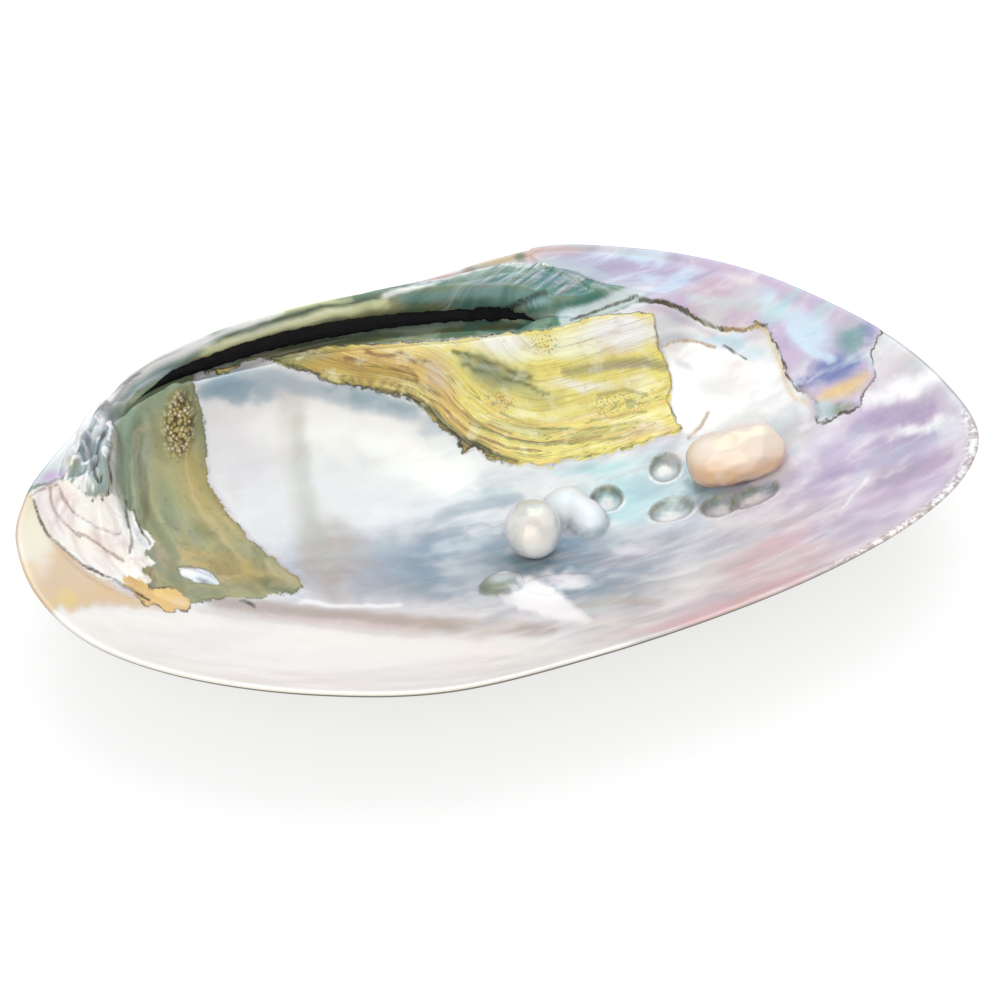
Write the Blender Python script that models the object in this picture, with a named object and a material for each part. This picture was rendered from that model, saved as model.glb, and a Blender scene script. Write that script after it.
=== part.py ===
"""Half shell of a freshwater pearl mussel, lying on its rounded outside with the pearly inside up.

The valve is one solid: a sphere pressed into a cup, with its hinge, scar, pits and grown-in pearls.
The dried ligament and the two whole pearls are solids of their own.
Sizes are millimetres here: +X runs to the tail end, +Y to the hinge side, +Z up from the floor.
"""

import math

import bmesh
import bpy
import numpy as np

MM = 0.001

# Heights of the cup and thickness of its wall
RIM_HEIGHT = 25.0
BELLY_WALL = 3.2
EDGE_WALL = 1.7
BELLY_RUB = 0.7
CUP_FULLNESS = 2.25

# The cup's deepest point
CUP_CENTRE = (-3.5, 8.5)

# The beak that the growth lines spread from: it bulges below the cup
BEAK = (-54.0, 22.0)
BEAK_HALF_SIZES = (22.0, 12.0)
BEAK_TURN = 25.0
BEAK_BULGE = 2.6

# Growth lines on the outside, as shares of the way from the beak to the margin, and the step at each
GROWTH_RESTS = (0.50, 0.62, 0.73, 0.83, 0.92)
REST_STEP = 0.5
REST_WIDTH = 0.02
REST_FADE = 0.09

# The margin of the valve, seen from above
MARGIN = (
    (-90, -8), (-88, 2), (-84.5, 9), (-77, 19), (-70, 27.5), (-60, 35), (-48, 41), (-34, 46),
    (-20, 48), (-6, 51), (6, 54.5), (18, 56.5), (30, 54.5), (44, 50), (57, 43), (69, 33),
    (79, 22), (86, 9.5), (89.5, -4), (85, -15), (74, -25), (58, -34), (38, -42), (12, -49.5),
    (-16, -54.5), (-40, -52), (-62, -45), (-78, -35), (-87, -22),
)

# The line of the hinge, from the front teeth to the tip of the long tooth on the wing
HINGE = (
    (-78, 8), (-73.5, 16), (-69, 23.5), (-62, 30), (-50, 35), (-36, 39), (-20, 41), (-4, 41),
    (8, 39.8), (15, 37.6), (22, 36.8), (30, 38.6), (37, 41.2),
)
PLATE_HEIGHT = 24.4
PLATE_SLOPE_WIDTH = 9.0

# Sections of the hinge at stations along X: each row holds the stations, and then the sizes there
GROOVE_HALF_WIDTH = ((-73, -64, -50, -34, -18, -2, 8, 15), (0.5, 2.3, 3.1, 3.7, 4.1, 3.8, 3.0, 0.2))
GROOVE_DEPTH = 4.2
LIP_HEIGHT = 1.2
BLADE_HEIGHT = ((-80, -70, -50, -20, 0, 14, 24, 32, 37), (0.4, 1.8, 2.3, 2.8, 3.6, 4.2, 3.6, 2.2, 0.3))
BLADE_WIDTH = (
    (-80, -60, -40, -20, -4, 6, 14, 22, 27, 32, 38), (1.5, 2.0, 2.4, 2.6, 4.5, 8.0, 10.5, 9.5, 5.5, 3.0, 0.3),
)

# The dried ligament in the groove
LIGAMENT_HALF_WIDTH = ((-64, -54, -45, -30, -14, 0, 8, 12), (0.3, 0.9, 1.7, 2.5, 2.9, 2.5, 1.6, 0.4))
LIGAMENT_HALF_HEIGHT = 1.2
LIGAMENT_LIFT = 2.4
LIGAMENT_SPAN = (-61.0, 10.5)

# Rounded lumps on the inside: x, y, half length, half width, turn in degrees, height
FRONT_TEETH = (
    (-74.0, 19.0, 6.5, 2.2, 62, 3.4), (-71.5, 12.5, 6.5, 2.1, 80, 4.4), (-78.0, 12.0, 4.5, 1.8, 58, 2.8),
    (-73.5, 7.0, 4.2, 2.0, 28, 2.2), (-67.0, 8.0, 8.0, 1.7, 84, 1.6),
)
CRUST_LUMPS = ((-58.0, 28.0, 1.9, 1.5, 20, 0.9), (-57.0, 23.8, 1.5, 1.8, 0, 0.8), (-59.0, 19.2, 1.4, 2.0, 0, 1.1))
GROWN_IN_PEARLS = (
    (14.2, 5.2, 4.4, 5.0, 20, 3.6), (17.6, 2.0, 2.6, 4.0, 10, 2.2), (-2.0, -14.5, 4.8, 3.4, 15, 2.8),
    (9.0, -16.0, 7.0, 3.6, -8, 1.5), (-57.5, -9.5, 3.9, 1.5, -20, 1.0),
)
# Hollows: where pearls came away, and the pits between the front teeth
HOLLOWS = (
    (21.6, 7.4, 3.0, 3.2, 0, -1.9), (33.0, 1.2, 4.1, 3.1, 0, -2.1), (33.6, 11.8, 2.9, 3.2, 0, -1.4),
    (42.0, -0.8, 3.6, 2.8, 0, -1.8), (48.5, -0.6, 4.8, 2.5, 12, -1.1), (-75.2, 13.6, 2.6, 1.3, 70, -2.2),
)

# The scar of the front closing muscle: terraces, each an oval sunk in the one before
SCAR_TERRACES = (
    (-75.6, -4.6, 14.0, 7.6, -54, -0.8), (-74.2, -3.8, 12.0, 5.8, -54, -0.7), (-72.9, -3.2, 10.0, 4.2, -54, -0.7),
)
TERRACE_EDGE = 0.14

# Edges of the pearly layers that stand a little proud of the floor
WING_LAYER = (
    (33, 42.5), (41, 38.5), (45, 35), (54, 33), (58, 27), (59.5, 18), (62.5, 13), (63, 8.5),
    (70, 12), (74, 17), (77, 24), (70, 33), (56, 45), (40, 52),
)
STAINED_LAYER = (
    (-36, 36), (-27, 32), (-14, 27), (-8, 19), (2, 15), (16, 14.5), (30, 16.5), (38.5, 18.5), (38, 27),
    (36.5, 36), (18, 38), (-6, 39),
)
OLIVE_LAYER = (
    (-65, 24), (-64, 6), (-62, -9), (-56, -15), (-37, -10.5), (-46, 2), (-51, 18), (-53, 29), (-60, 28),
)
LAYER_HEIGHT = 0.7
LAYER_EDGE = 0.8

# The two whole pearls: the middle, the half sizes, and in degrees the turn about Z and the tail end's lift
WHITE_PEARL = ((5.8, -3.4, 9.4), (5.4, 5.7, 5.6), 0.0, 0.0)
PINK_PEARL = ((45.8, 6.8, 13.3), (9.3, 5.6, 5.3), 0.0, 14.0)
SOCKET_GAP = 0.6
PEARL_TAPER = 0.18

# Meshes: segments round the cup and rings up its two sides, closer together where the small forms are
SEGMENTS = 96
INNER_RINGS = 33
OUTER_RINGS = (0.12, 0.22, 0.30, 0.38, 0.48, 0.50, 0.60, 0.62, 0.71, 0.73, 0.81, 0.83, 0.90, 0.92)
TURN_CROWDING = ((180, 22, 2.3), (58, 22, 2.0), (110, 40, 0.7), (5, 30, 1.2))
HINGE_CROWDING = 3.0
HINGE_BAND = (3.0, 6.0)
SPOT_CROWDING = ((-74, 4, 13, 22, 0, 2.0), (28, 3, 26, 12, 0, 1.6), (2, -14, 14, 8, 0, 1.0))
STEPS_OF_A_RAY = 200


def smooth_curve(points, closed, per_span=24):
    """Points along a Catmull-Rom curve through the given ones."""
    knots = np.array(points, float)
    if closed:
        knots = np.vstack([knots[-1], knots, knots[:2]])
    else:
        knots = np.vstack([2 * knots[0] - knots[1], knots, 2 * knots[-1] - knots[-2]])
    t = np.linspace(0, 1, per_span, endpoint=False)[:, None]
    spans = []
    for a, b, c, d in zip(knots, knots[1:], knots[2:], knots[3:]):
        spans.append(0.5 * (2 * b + (c - a) * t + (2 * a - 5 * b + 4 * c - d) * t**2
                            + (3 * b - a - 3 * c + d) * t**3))
    if not closed:
        spans.append(knots[-2:-1])
    return np.vstack(spans)


MARGIN_CURVE = smooth_curve(MARGIN, closed=True)
HINGE_CURVE = smooth_curve(HINGE, closed=False)
MIDDLE = (MARGIN_CURVE.min(axis=0) + MARGIN_CURVE.max(axis=0)) / 2


def reach(angle, centre):
    """Distance from the centre to the margin in each direction."""
    loop = MARGIN_CURVE - centre
    angles = np.arctan2(loop[:, 1], loop[:, 0])
    order = np.argsort(angles)
    return np.interp(angle, angles[order], np.hypot(*loop[order].T), period=2 * math.pi)


def margin_point(centre, angle):
    """The margin's point in each direction from the centre."""
    return np.array(centre) + reach(angle, centre)[:, None] * np.column_stack([np.cos(angle), np.sin(angle)])


def share_of_reach(at, centre):
    """0 at the centre and 1 at the margin."""
    offset = at - centre
    return np.hypot(*offset.T) / reach(np.arctan2(offset[:, 1], offset[:, 0]), centre)


def ramp(value, low, high):
    """Rises smoothly from 0 at low to 1 at high."""
    t = np.clip((value - low) / (high - low), 0, 1)
    return t * t * (3 - 2 * t)


def beside_hinge(at):
    """How far each point lies on the hinge side of the hinge line, and the X of the nearest point of it."""
    gap = at[:, None, :] - HINGE_CURVE[None, :, :]
    nearest = np.argmin(np.hypot(gap[..., 0], gap[..., 1]), axis=1)
    along = np.gradient(HINGE_CURVE, axis=0)[nearest]
    offset = at - HINGE_CURVE[nearest]
    side = np.sign(along[:, 0] * offset[:, 1] - along[:, 1] * offset[:, 0])
    return side * np.hypot(*offset.T), HINGE_CURVE[nearest, 0]


def in_oval(at, oval):
    """Distance from an oval's middle in units of its half sizes."""
    x, y, half_length, half_width, turn = oval[:5]
    c, s = math.cos(math.radians(turn)), math.sin(math.radians(turn))
    dx, dy = at[:, 0] - x, at[:, 1] - y
    return np.hypot((c * dx + s * dy) / half_length, (c * dy - s * dx) / half_width)


def depth_inside(at, outline):
    """Distance to a closed outline, positive inside it."""
    loop = smooth_curve(outline, closed=True, per_span=8)
    ends = np.roll(loop, -1, axis=0)
    span = ends - loop
    gap = at[:, None, :] - loop[None, :, :]
    t = np.clip((gap * span).sum(2) / np.maximum((span**2).sum(1), 1e-9), 0, 1)
    distance = np.hypot(*(np.moveaxis(gap - t[..., None] * span, 2, 0))).min(axis=1)
    above = (loop[:, 1] > at[:, None, 1]) != (ends[:, 1] > at[:, None, 1])
    rise = np.where(np.abs(span[:, 1]) < 1e-9, 1e-9, span[:, 1])
    crossing = loop[:, 0] + (at[:, None, 1] - loop[:, 1]) * span[:, 0] / rise
    inside = (above & (at[:, None, 0] < crossing)).sum(axis=1) % 2 == 1
    return np.where(inside, distance, -distance)


def outside_height(at):
    """The rounded outside, with its beak, a step at each growth line and the belly rubbed flat."""
    bulge = share_of_reach(at, CUP_CENTRE) ** CUP_FULLNESS
    height = -BELLY_RUB + (RIM_HEIGHT - EDGE_WALL / 2 + BELLY_RUB) * bulge
    height = height - BEAK_BULGE * np.exp(-in_oval(at, (*BEAK, *BEAK_HALF_SIZES, BEAK_TURN)) ** 2)
    age = share_of_reach(at, BEAK)
    for rest in GROWTH_RESTS:
        height = height + REST_STEP * ramp(age, rest - REST_WIDTH, rest) * ramp(-age, -rest - REST_FADE, -rest)
    return np.maximum(height, 0.0)


def cup_height(at):
    """The smooth inside, before any hinge."""
    bulge = share_of_reach(at, CUP_CENTRE) ** CUP_FULLNESS
    return BELLY_WALL + (RIM_HEIGHT + EDGE_WALL / 2 - BELLY_WALL) * bulge


def hinge_height(at, height):
    """The hinge plate, its groove and lip, and the long tooth that fans out at its tail end."""
    beside, x = beside_hinge(at)
    ends = ramp(at[:, 0], -86, -74) * ramp(-at[:, 0], -62, -30)
    plate = ramp(beside, -PLATE_SLOPE_WIDTH, -0.5) * ends
    height = height + (np.maximum(PLATE_HEIGHT, height) - height) * plate
    half = np.interp(x, *GROOVE_HALF_WIDTH)
    in_groove = ramp(half - np.abs(beside), -0.4, 1.0) * ramp(x, -74, -66) * ramp(-x, -15, -10)
    height = height - GROOVE_DEPTH * in_groove
    lip = np.exp(-(((beside + half + 1.4) / 1.1) ** 2)) * ramp(x, -66, -50) * ramp(-x, -34, -16)
    height = height + LIP_HEIGHT * lip
    width = np.interp(x, *BLADE_WIDTH)
    front = ramp(beside, half - 0.2, half + 0.9)
    back = ramp(half + width - beside, 0.0, 1.6)
    return height + np.interp(x, *BLADE_HEIGHT) * front * back * ramp(at[:, 0], -80, -70)


def under_pearl(at, pearl):
    """The underside of a pearl less a gap, for the socket that it sits in."""
    (x, y, z), half_sizes, turn, lift = pearl
    length, width, height = (size + SOCKET_GAP for size in half_sizes)
    c, s = math.cos(math.radians(turn)), math.sin(math.radians(turn))
    along = c * (at[:, 0] - x) + s * (at[:, 1] - y)
    across = c * (at[:, 1] - y) - s * (at[:, 0] - x)
    c, s = math.cos(math.radians(lift)), math.sin(math.radians(lift))
    square = (s / length) ** 2 + (c / height) ** 2
    linear = along * s * c * (1 / length**2 - 1 / height**2)
    rest = along**2 * ((c / length) ** 2 + (s / height) ** 2) + (across / width) ** 2 - 1
    inside = linear**2 - square * rest
    bottom = z - (linear + np.sqrt(np.maximum(inside, 0))) / square
    return np.where(inside > 0, bottom, np.inf)


def inside_height(at):
    """The inside with everything that stands up from it or is sunk in it."""
    height = hinge_height(at, cup_height(at))
    for layer in (WING_LAYER, STAINED_LAYER, OLIVE_LAYER):
        height = height + LAYER_HEIGHT * ramp(depth_inside(at, layer), -LAYER_EDGE, LAYER_EDGE)
    for form in FRONT_TEETH + CRUST_LUMPS + GROWN_IN_PEARLS + HOLLOWS:
        height = height + form[5] * np.sqrt(np.clip(1 - in_oval(at, form) ** 2, 0, 1))
    for terrace in SCAR_TERRACES:
        height = height + terrace[5] * ramp(-in_oval(at, terrace), -1, TERRACE_EDGE - 1)
    for pearl in (WHITE_PEARL, PINK_PEARL):
        height = np.minimum(height, under_pearl(at, pearl))
    return np.maximum(height, outside_height(at) + EDGE_WALL)


def evened(shares, places, fineness):
    """Moves evenly spaced shares along a row of places so that they crowd where the fineness is high."""
    total = np.concatenate([[0.0], np.cumsum((fineness[1:] + fineness[:-1]) / 2 * np.diff(places))])
    return np.interp(shares, total / total[-1], places)


def spread_turns():
    """The direction of each segment from the cup's centre, counted from the near side."""
    degrees = np.linspace(-90, 270, 721)
    fineness = np.ones_like(degrees)
    for middle, width, strength in TURN_CROWDING:
        fineness = fineness + strength * np.exp(-(((degrees - middle) / width) ** 2))
    return np.radians(evened(np.arange(SEGMENTS) / SEGMENTS, degrees, fineness))


def spread_rings(turns):
    """The inner rings' shares of the way out along each segment."""
    away = np.linspace(0, 1, STEPS_OF_A_RAY)
    rows = []
    for turn in turns:
        rim = margin_point(CUP_CENTRE, np.array([turn]))
        at = CUP_CENTRE + away[:, None] * (rim - CUP_CENTRE)
        middle, width = HINGE_BAND
        fineness = 1 + HINGE_CROWDING * np.exp(-(((beside_hinge(at)[0] - middle) / width) ** 2))
        for spot in SPOT_CROWDING:
            fineness = fineness + spot[5] * np.exp(-in_oval(at, spot) ** 2)
        rows.append(evened(np.linspace(0, 1, INNER_RINGS + 1), away, fineness))
    return np.array(rows)


def build_valve():
    """A sphere pressed into a cup: its upper rings become the inside and its lower rings the outside."""
    rings = INNER_RINGS + len(OUTER_RINGS) + 1
    bm = bmesh.new()
    bmesh.ops.create_uvsphere(bm, u_segments=SEGMENTS, v_segments=rings, radius=1.0)
    sphere = np.array([v.co for v in bm.verts])
    ring = np.rint(np.arccos(np.clip(sphere[:, 2], -1, 1)) / math.pi * rings).astype(int)
    around = np.arctan2(sphere[:, 1], sphere[:, 0]) / (2 * math.pi) * SEGMENTS
    segment = np.rint(around).astype(int) % SEGMENTS
    turns = spread_turns()
    turn = turns[segment]
    is_inside = ring <= INNER_RINGS
    inner_share = spread_rings(turns)[segment, np.minimum(ring, INNER_RINGS)]
    outer_share = np.array(OUTER_RINGS[::-1] + (0.0,))[np.maximum(ring - INNER_RINGS - 1, 0)]
    rim = margin_point(CUP_CENTRE, turn)
    at_inside = CUP_CENTRE + inner_share[:, None] * (rim - CUP_CENTRE)
    at_outside = BEAK + outer_share[:, None] * (rim - BEAK)
    height = np.where(is_inside, inside_height(at_inside), outside_height(at_outside))
    height[ring == INNER_RINGS] = RIM_HEIGHT
    at = np.where(is_inside[:, None], at_inside, at_outside) - MIDDLE
    for vertex, (x, y), z in zip(bm.verts, at, height):
        vertex.co = (x * MM, y * MM, z * MM)
    return finish("shell", bm, (0.86, 0.84, 0.83), 0.25)


def build_ligament():
    """A strip of dried ligament: a sphere drawn out along the groove."""
    bm = bmesh.new()
    bmesh.ops.create_uvsphere(bm, u_segments=8, v_segments=30, radius=1.0)
    for vertex in bm.verts:
        x, y, z = vertex.co
        start, end = LIGAMENT_SPAN
        along = start + (end - start) * math.acos(max(-1, min(1, -z))) / math.pi
        middle = np.array([along, np.interp(along, HINGE_CURVE[:, 0], HINGE_CURVE[:, 1])])
        slope = np.interp(along + 1, HINGE_CURVE[:, 0], HINGE_CURVE[:, 1]) - middle[1]
        across = np.array([-slope, 1]) / math.hypot(slope, 1)
        ring = math.hypot(x, y) or 1e-9
        half = np.interp(along, *LIGAMENT_HALF_WIDTH) * min(1, ring * 3)
        at = middle + across * half * y / ring - MIDDLE
        lift = LIGAMENT_HALF_HEIGHT * min(1, half) * x / ring
        vertex.co = (at[0] * MM, at[1] * MM, (PLATE_HEIGHT - GROOVE_DEPTH + LIGAMENT_LIFT + lift) * MM)
    return finish("ligament", bm, (0.012, 0.010, 0.012), 0.45)


def build_pearl(name, pearl, colour):
    """A pearl that is a little slimmer towards one end."""
    (x, y, z), half_sizes, turn, lift = pearl
    bm = bmesh.new()
    bmesh.ops.create_uvsphere(bm, u_segments=16, v_segments=10, radius=1.0)
    for vertex in bm.verts:
        slim = 1 - PEARL_TAPER * (0.5 + 0.5 * vertex.co.x)
        vertex.co.y *= slim
        vertex.co.z *= slim
    bmesh.ops.scale(bm, vec=[s * MM for s in half_sizes], verts=bm.verts)
    obj = finish(name, bm, colour, 0.2)
    obj.location = ((x - MIDDLE[0]) * MM, (y - MIDDLE[1]) * MM, z * MM)
    obj.rotation_euler = (0, -math.radians(lift), math.radians(turn))
    return obj


def finish(name, bm, colour, roughness):
    """Makes the mesh an object with its own material."""
    bmesh.ops.recalc_face_normals(bm, faces=bm.faces)
    mesh = bpy.data.meshes.new(name)
    bm.to_mesh(mesh)
    bm.free()
    mesh.shade_smooth()
    material = bpy.data.materials.new(name)
    material.use_nodes = True
    shader = material.node_tree.nodes["Principled BSDF"]
    shader.inputs["Base Color"].default_value = (*colour, 1)
    shader.inputs["Roughness"].default_value = roughness
    shader.inputs["Metallic"].default_value = 0.0
    mesh.materials.append(material)
    obj = bpy.data.objects.new(name, mesh)
    collection.objects.link(obj)
    return obj


for old in list(bpy.data.objects):
    bpy.data.objects.remove(old)
collection = bpy.data.collections.new("pearl mussel half shell")
bpy.context.scene.collection.children.link(collection)

build_valve()
build_ligament()
build_pearl("white_pearl", WHITE_PEARL, (0.90, 0.88, 0.84))
build_pearl("pink_pearl", PINK_PEARL, (0.85, 0.62, 0.50))
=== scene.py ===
"""Half shell of a freshwater pearl mussel with its dried ligament and two whole pearls."""

import math

import bmesh
import bpy
import numpy as np
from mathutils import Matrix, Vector, noise


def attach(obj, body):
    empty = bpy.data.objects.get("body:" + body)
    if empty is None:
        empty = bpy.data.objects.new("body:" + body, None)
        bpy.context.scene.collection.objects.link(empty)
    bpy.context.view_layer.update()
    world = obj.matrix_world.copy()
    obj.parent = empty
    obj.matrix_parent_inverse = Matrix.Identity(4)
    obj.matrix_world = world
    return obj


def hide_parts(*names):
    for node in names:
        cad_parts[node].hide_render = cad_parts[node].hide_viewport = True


bl_info = {
    "name": "Pearl Mussel Half Shell",
    "version": (1, 0, 0),
    "blender": (4, 5, 0),
    "location": "3D View > Sidebar > Half Shell",
    "description": "Builds a pearl mussel's half shell with its ligament, pearls and stage",
    "category": "Add Mesh",
}

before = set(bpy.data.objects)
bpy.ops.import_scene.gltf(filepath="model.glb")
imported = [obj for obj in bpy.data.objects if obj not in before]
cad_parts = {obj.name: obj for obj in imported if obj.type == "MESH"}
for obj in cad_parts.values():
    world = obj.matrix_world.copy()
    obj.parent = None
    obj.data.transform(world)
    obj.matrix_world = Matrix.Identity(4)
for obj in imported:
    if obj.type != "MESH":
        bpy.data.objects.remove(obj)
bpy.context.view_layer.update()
MM = 0.001

# The photo's camera: its height over the floor and turn in degrees, then lengths in millimetres and pixels
VIEW_HEIGHT = 46.0
VIEW_TURN = -8.0
VIEW_DISTANCE = 750.0
VIEW_TARGET = (0.0, 0.0, 20.0)
PHOTO_SCALE = 5.37
PHOTO_MIDDLE = (500.0, 480.0)
PHOTO_SIZE = 1000.0
SENSOR = 36.0

# Form of the valve in millimetres, drawn from above. Growth rests are shares of the way out from the beak.
CUP_CENTRE = (-3.5, 8.5)
CUP_FULLNESS = 2.25
BELLY_RUB = 0.7
BEAK = (-54.0, 22.0)
BEAK_HALF_SIZES = (22.0, 12.0)
BEAK_TURN = 25.0
BEAK_BULGE = 2.6
GROWTH_RESTS = (0.50, 0.62, 0.73, 0.83, 0.92)
REST_STEP = 0.5
REST_WIDTH = 0.02
REST_FADE = 0.09
MARGIN = (
    (-90, -8), (-88, 2), (-84.5, 9), (-77, 19), (-70, 27.5), (-60, 35), (-48, 41), (-34, 46),
    (-20, 48), (-6, 51), (6, 54.5), (18, 56.5), (30, 54.5), (44, 50), (57, 43), (69, 33),
    (79, 22), (86, 9.5), (89.5, -4), (85, -15), (74, -25), (58, -34), (38, -42), (12, -49.5),
    (-16, -54.5), (-40, -52), (-62, -45), (-78, -35), (-87, -22),
)
LIP_ROUNDING = 1.1
LIP_REACH = 50.0

# The hinge: its line, its plate, and its sections at stations along X. Ends are where a form fades in or out.
HINGE = (
    (-78, 8), (-73.5, 16), (-69, 23.5), (-62, 30), (-50, 35), (-36, 39), (-20, 41), (-4, 41),
    (8, 39.8), (15, 37.6), (22, 36.8), (30, 38.6), (37, 41.2), (44, 44.0), (56, 48.0),
)
PLATE_HEIGHT = 24.4
PLATE_SLOPE_WIDTH = 9.0
GROOVE_HALF_WIDTH = ((-73, -64, -50, -34, -18, -2, 8, 15), (0.5, 2.3, 3.1, 3.7, 4.1, 3.8, 3.0, 0.2))
GROOVE_DEPTH = 4.2
GROOVE_WALL = (-0.4, 1.0)
GROOVE_ENDS = ((-74, -66), (10, 15))
PLATE_ENDS = ((-86, -74), (30, 62))
LIP_HEIGHT = 1.2
LIP_GAP = 1.4
LIP_WIDTH = 1.1
LIP_ENDS = ((-66, -50), (16, 34))
BLADE_FRONT = 0.9
TIP_FRONT = 1.7
TIP_START = (12.0, 26.0)
BLADE_BACK = 1.6
BLADE_START = (-80, -70)
BLADE_HEIGHT = ((-80, -70, -50, -20, 0, 14, 24, 32, 37), (0.4, 1.8, 2.3, 2.8, 3.6, 4.2, 3.6, 2.2, 0.3))
BLADE_WIDTH = (
    (-80, -60, -40, -20, -4, 6, 14, 22, 27, 32, 38), (1.5, 2.0, 2.4, 2.6, 4.5, 8.0, 10.5, 9.5, 5.5, 3.0, 0.3),
)

# Rounded lumps and hollows on the inside: x, y, half length, half width, turn in degrees, height
FRONT_TEETH = (
    (-74.0, 19.0, 6.5, 2.2, 62, 3.4), (-71.5, 12.5, 6.5, 2.1, 80, 4.4), (-78.0, 12.0, 4.5, 1.8, 58, 2.8),
    (-73.5, 7.0, 4.2, 2.0, 28, 2.2), (-67.0, 8.0, 8.0, 1.7, 84, 1.6),
)
CRUST_LUMPS = (
    (-58.0, 28.0, 1.9, 1.5, 20, 0.9), (-57.0, 23.8, 1.5, 1.8, 0, 0.8), (-59.0, 19.2, 1.4, 2.0, 0, 1.1),
)
GROWN_IN_PEARLS = (
    (-1.6, -13.4, 4.4, 2.9, 15, 2.9), (9.0, -16.0, 7.0, 3.6, -8, 1.5), (-57.5, -9.5, 3.9, 1.5, -20, 1.0),
)
JOINED_PEARLS = ((13.6, 5.8, 4.8, 4.6, 20, 4.3), (17.0, 2.2, 3.7, 4.9, 12, 4.3))
PEARL_HOLLOWS = (
    (21.6, 7.4, 3.0, 3.2, 0, -1.9), (33.0, 1.2, 4.1, 3.1, 0, -2.1), (33.6, 11.8, 2.9, 3.2, 0, -1.4),
    (42.0, -0.8, 3.6, 2.8, 0, -1.8), (48.5, -0.6, 4.8, 2.5, 12, -1.1),
)
TOOTH_PITS = ((-75.2, 13.6, 2.6, 1.3, 70, -2.2),)

# Terraces of the scar, with how wide their edge is, and the layers that stand out, in millimetres
SCAR_TERRACES = (
    (-75.6, -4.6, 14.0, 7.6, -54, -0.8), (-74.2, -3.8, 12.0, 5.8, -54, -0.7),
    (-72.9, -3.2, 10.0, 4.2, -54, -0.7),
)
TERRACE_EDGE = 0.06
RAISED_LAYERS = ("olive", "stain", "wing")
LAYER_HEIGHT = 0.6
LAYER_EDGE = 0.25

# Finer relief of the inside in millimetres: its waves, the crumpled teeth, torn hollows, crumbs at the end of
# the scar and the ribs of the long tooth. It fades out between two shares of the way to the margin.
RELIEF_FADE = (0.93, 0.985)
WAVES = 0.30
WAVE_LENGTH = 11.0
WAVE_STRETCH = (0.6, 1.0)
RIPPLES = 0.06
RIPPLE_LENGTH = 3.5
CRUMPLE_HEIGHT = 0.9
CRUMPLE_GRAIN = 4.2
TORN_HEIGHT = 0.55
TORN_GRAIN = 2.4
CRUMB_HEIGHT = 1.1
CRUMB_GRAIN = 1.9
FAN_RELIEF = 0.28
FAN_TURN = 38.0
FAN_STRETCH = (0.14, 1.9)
FAN_START = (-2, 8)
FAN_EDGE = 1.5
BROKEN_GRAIN = 5.0

# Ovals in pixels of the photo for the crumpled teeth, crust, crumbs, pit and specks, and the tip's pale line
CRUMPLED = (88, 452, 26, 60, 14)
CRUSTED = (180, 426, 20, 42, 4)
CRUMBLY = (130, 545, 22, 44, -20)
TIP_STRIP = ((566, 319), (590, 311), (612, 303), (636, 294), (660, 285))
TIP_STRIP_WIDTH = 9.0
TEETH_PIT = (97, 470, 8, 17, 0)
SPECKLED = ((545, 346, 18, 14, 0), (618, 407, 38, 16, -6), (500, 404, 20, 12, 20))

# Marks that come in between two places: millimetres along X and Y for the tail, else pixels of the photo
TAIL_X = (48, 66)
TAIL_Y = (-5, 4)
LIVELY_FROM = (380, 520)
# Where and how much the stain's dark edge line, partly painted shade under its step, fades out: its X and Y
# pixels here and its strength below.
EDGE_FADE_X = (510, 560)
EDGE_FADE_Y = (424, 440)
LIVELY_LEAST = 0.3
EDGE_FADE_STRENGTH = 0.9
BROKEN_NOISE = (-0.35, 0.10)
FOLD_MIDDLE = 0.25
PIT_FADE = (0.7, 1.2)

# Shading of the torn hollows and the grown-in pearl, in shares of their half sizes, and its strengths
TORN_FADE = (-0.90, -0.50)
# The painted shade and the dark rim line in the torn hollows keep at least this share, and vary with noise
# between these values.
HOLLOW_DARK_LEAST = 0.35
HOLLOW_DARK_NOISE = (-0.45, 0.15)
HOLLOW_DARK = 0.80
HOLLOW_DARK_SIDE = (-0.30, 0.55)
HOLLOW_LINE = 0.55
HOLLOW_INSIDE = 0.65
HOLLOW_LIGHT = 0.80
CREAM_NOISE = (0.0, 0.4)
BLISTER_BODY = 0.45
BLISTER_DARK_SIDE = (-0.60, 0.40)
BLISTER_GLINT = (-0.8, -12.0, 1.9, 0.9, 15)
GLINT_STRENGTH = 0.75

# How far and how coarsely the outlines wander, in pixels of the photo
RAGGED_WANDER = 2.2
RAGGED_GRAIN = 9.0

# The two whole pearls: the middle, the half sizes, and in degrees the turn about Z and the tail end's lift
WHITE_PEARL = ((5.8, -3.4, 9.4), (5.4, 5.7, 5.6), 0.0, 0.0)
PINK_PEARL = ((46.4, 6.8, 13.4), (9.8, 5.6, 5.3), 0.0, 14.0)

# The pearls' facets by direction and distance from the middle, and the barrel's shape and puckered tail end
PEARL_FACETS = (
    (0.8, -0.45, 0.4, 0.92), (0.95, 0.25, 0.15, 0.9), (0.55, -0.8, 0.1, 0.98), (0.4, -0.55, 0.75, 0.98),
)
SOCKET_REST = 0.25
PEARL_MESH = (96, 64)
BARREL_POWERS = (3.2, 2.6)
BARREL_TAIL = 0.35
TAIL_TAPER = 0.10
TAIL_SHORTENING = 0.05
PUCKERS = 7
PUCKER_DEPTH = 0.05

# The dried ligament in its groove
LIGAMENT_HALF_WIDTH = (
    (-67, -60, -54, -45, -30, -20, -10, 0, 8, 13), (0.3, 0.8, 1.2, 1.6, 1.8, 1.7, 1.4, 1.2, 1.1, 0.7),
)
LIGAMENT_SHIFT = 1.2
LIGAMENT_HALF_HEIGHT = 1.0
LIGAMENT_LIFT = 2.6
LIGAMENT_ROUGH = 0.20
LIGAMENT_CRUMBS = 0.75
LIGAMENT_SPAN = (-66.0, 12.8)
LIGAMENT_CRUMBLES = (-6.0, 8.0)
LIGAMENT_GRAIN = 1.5
LIGAMENT_MESH = (24, 180)

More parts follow.
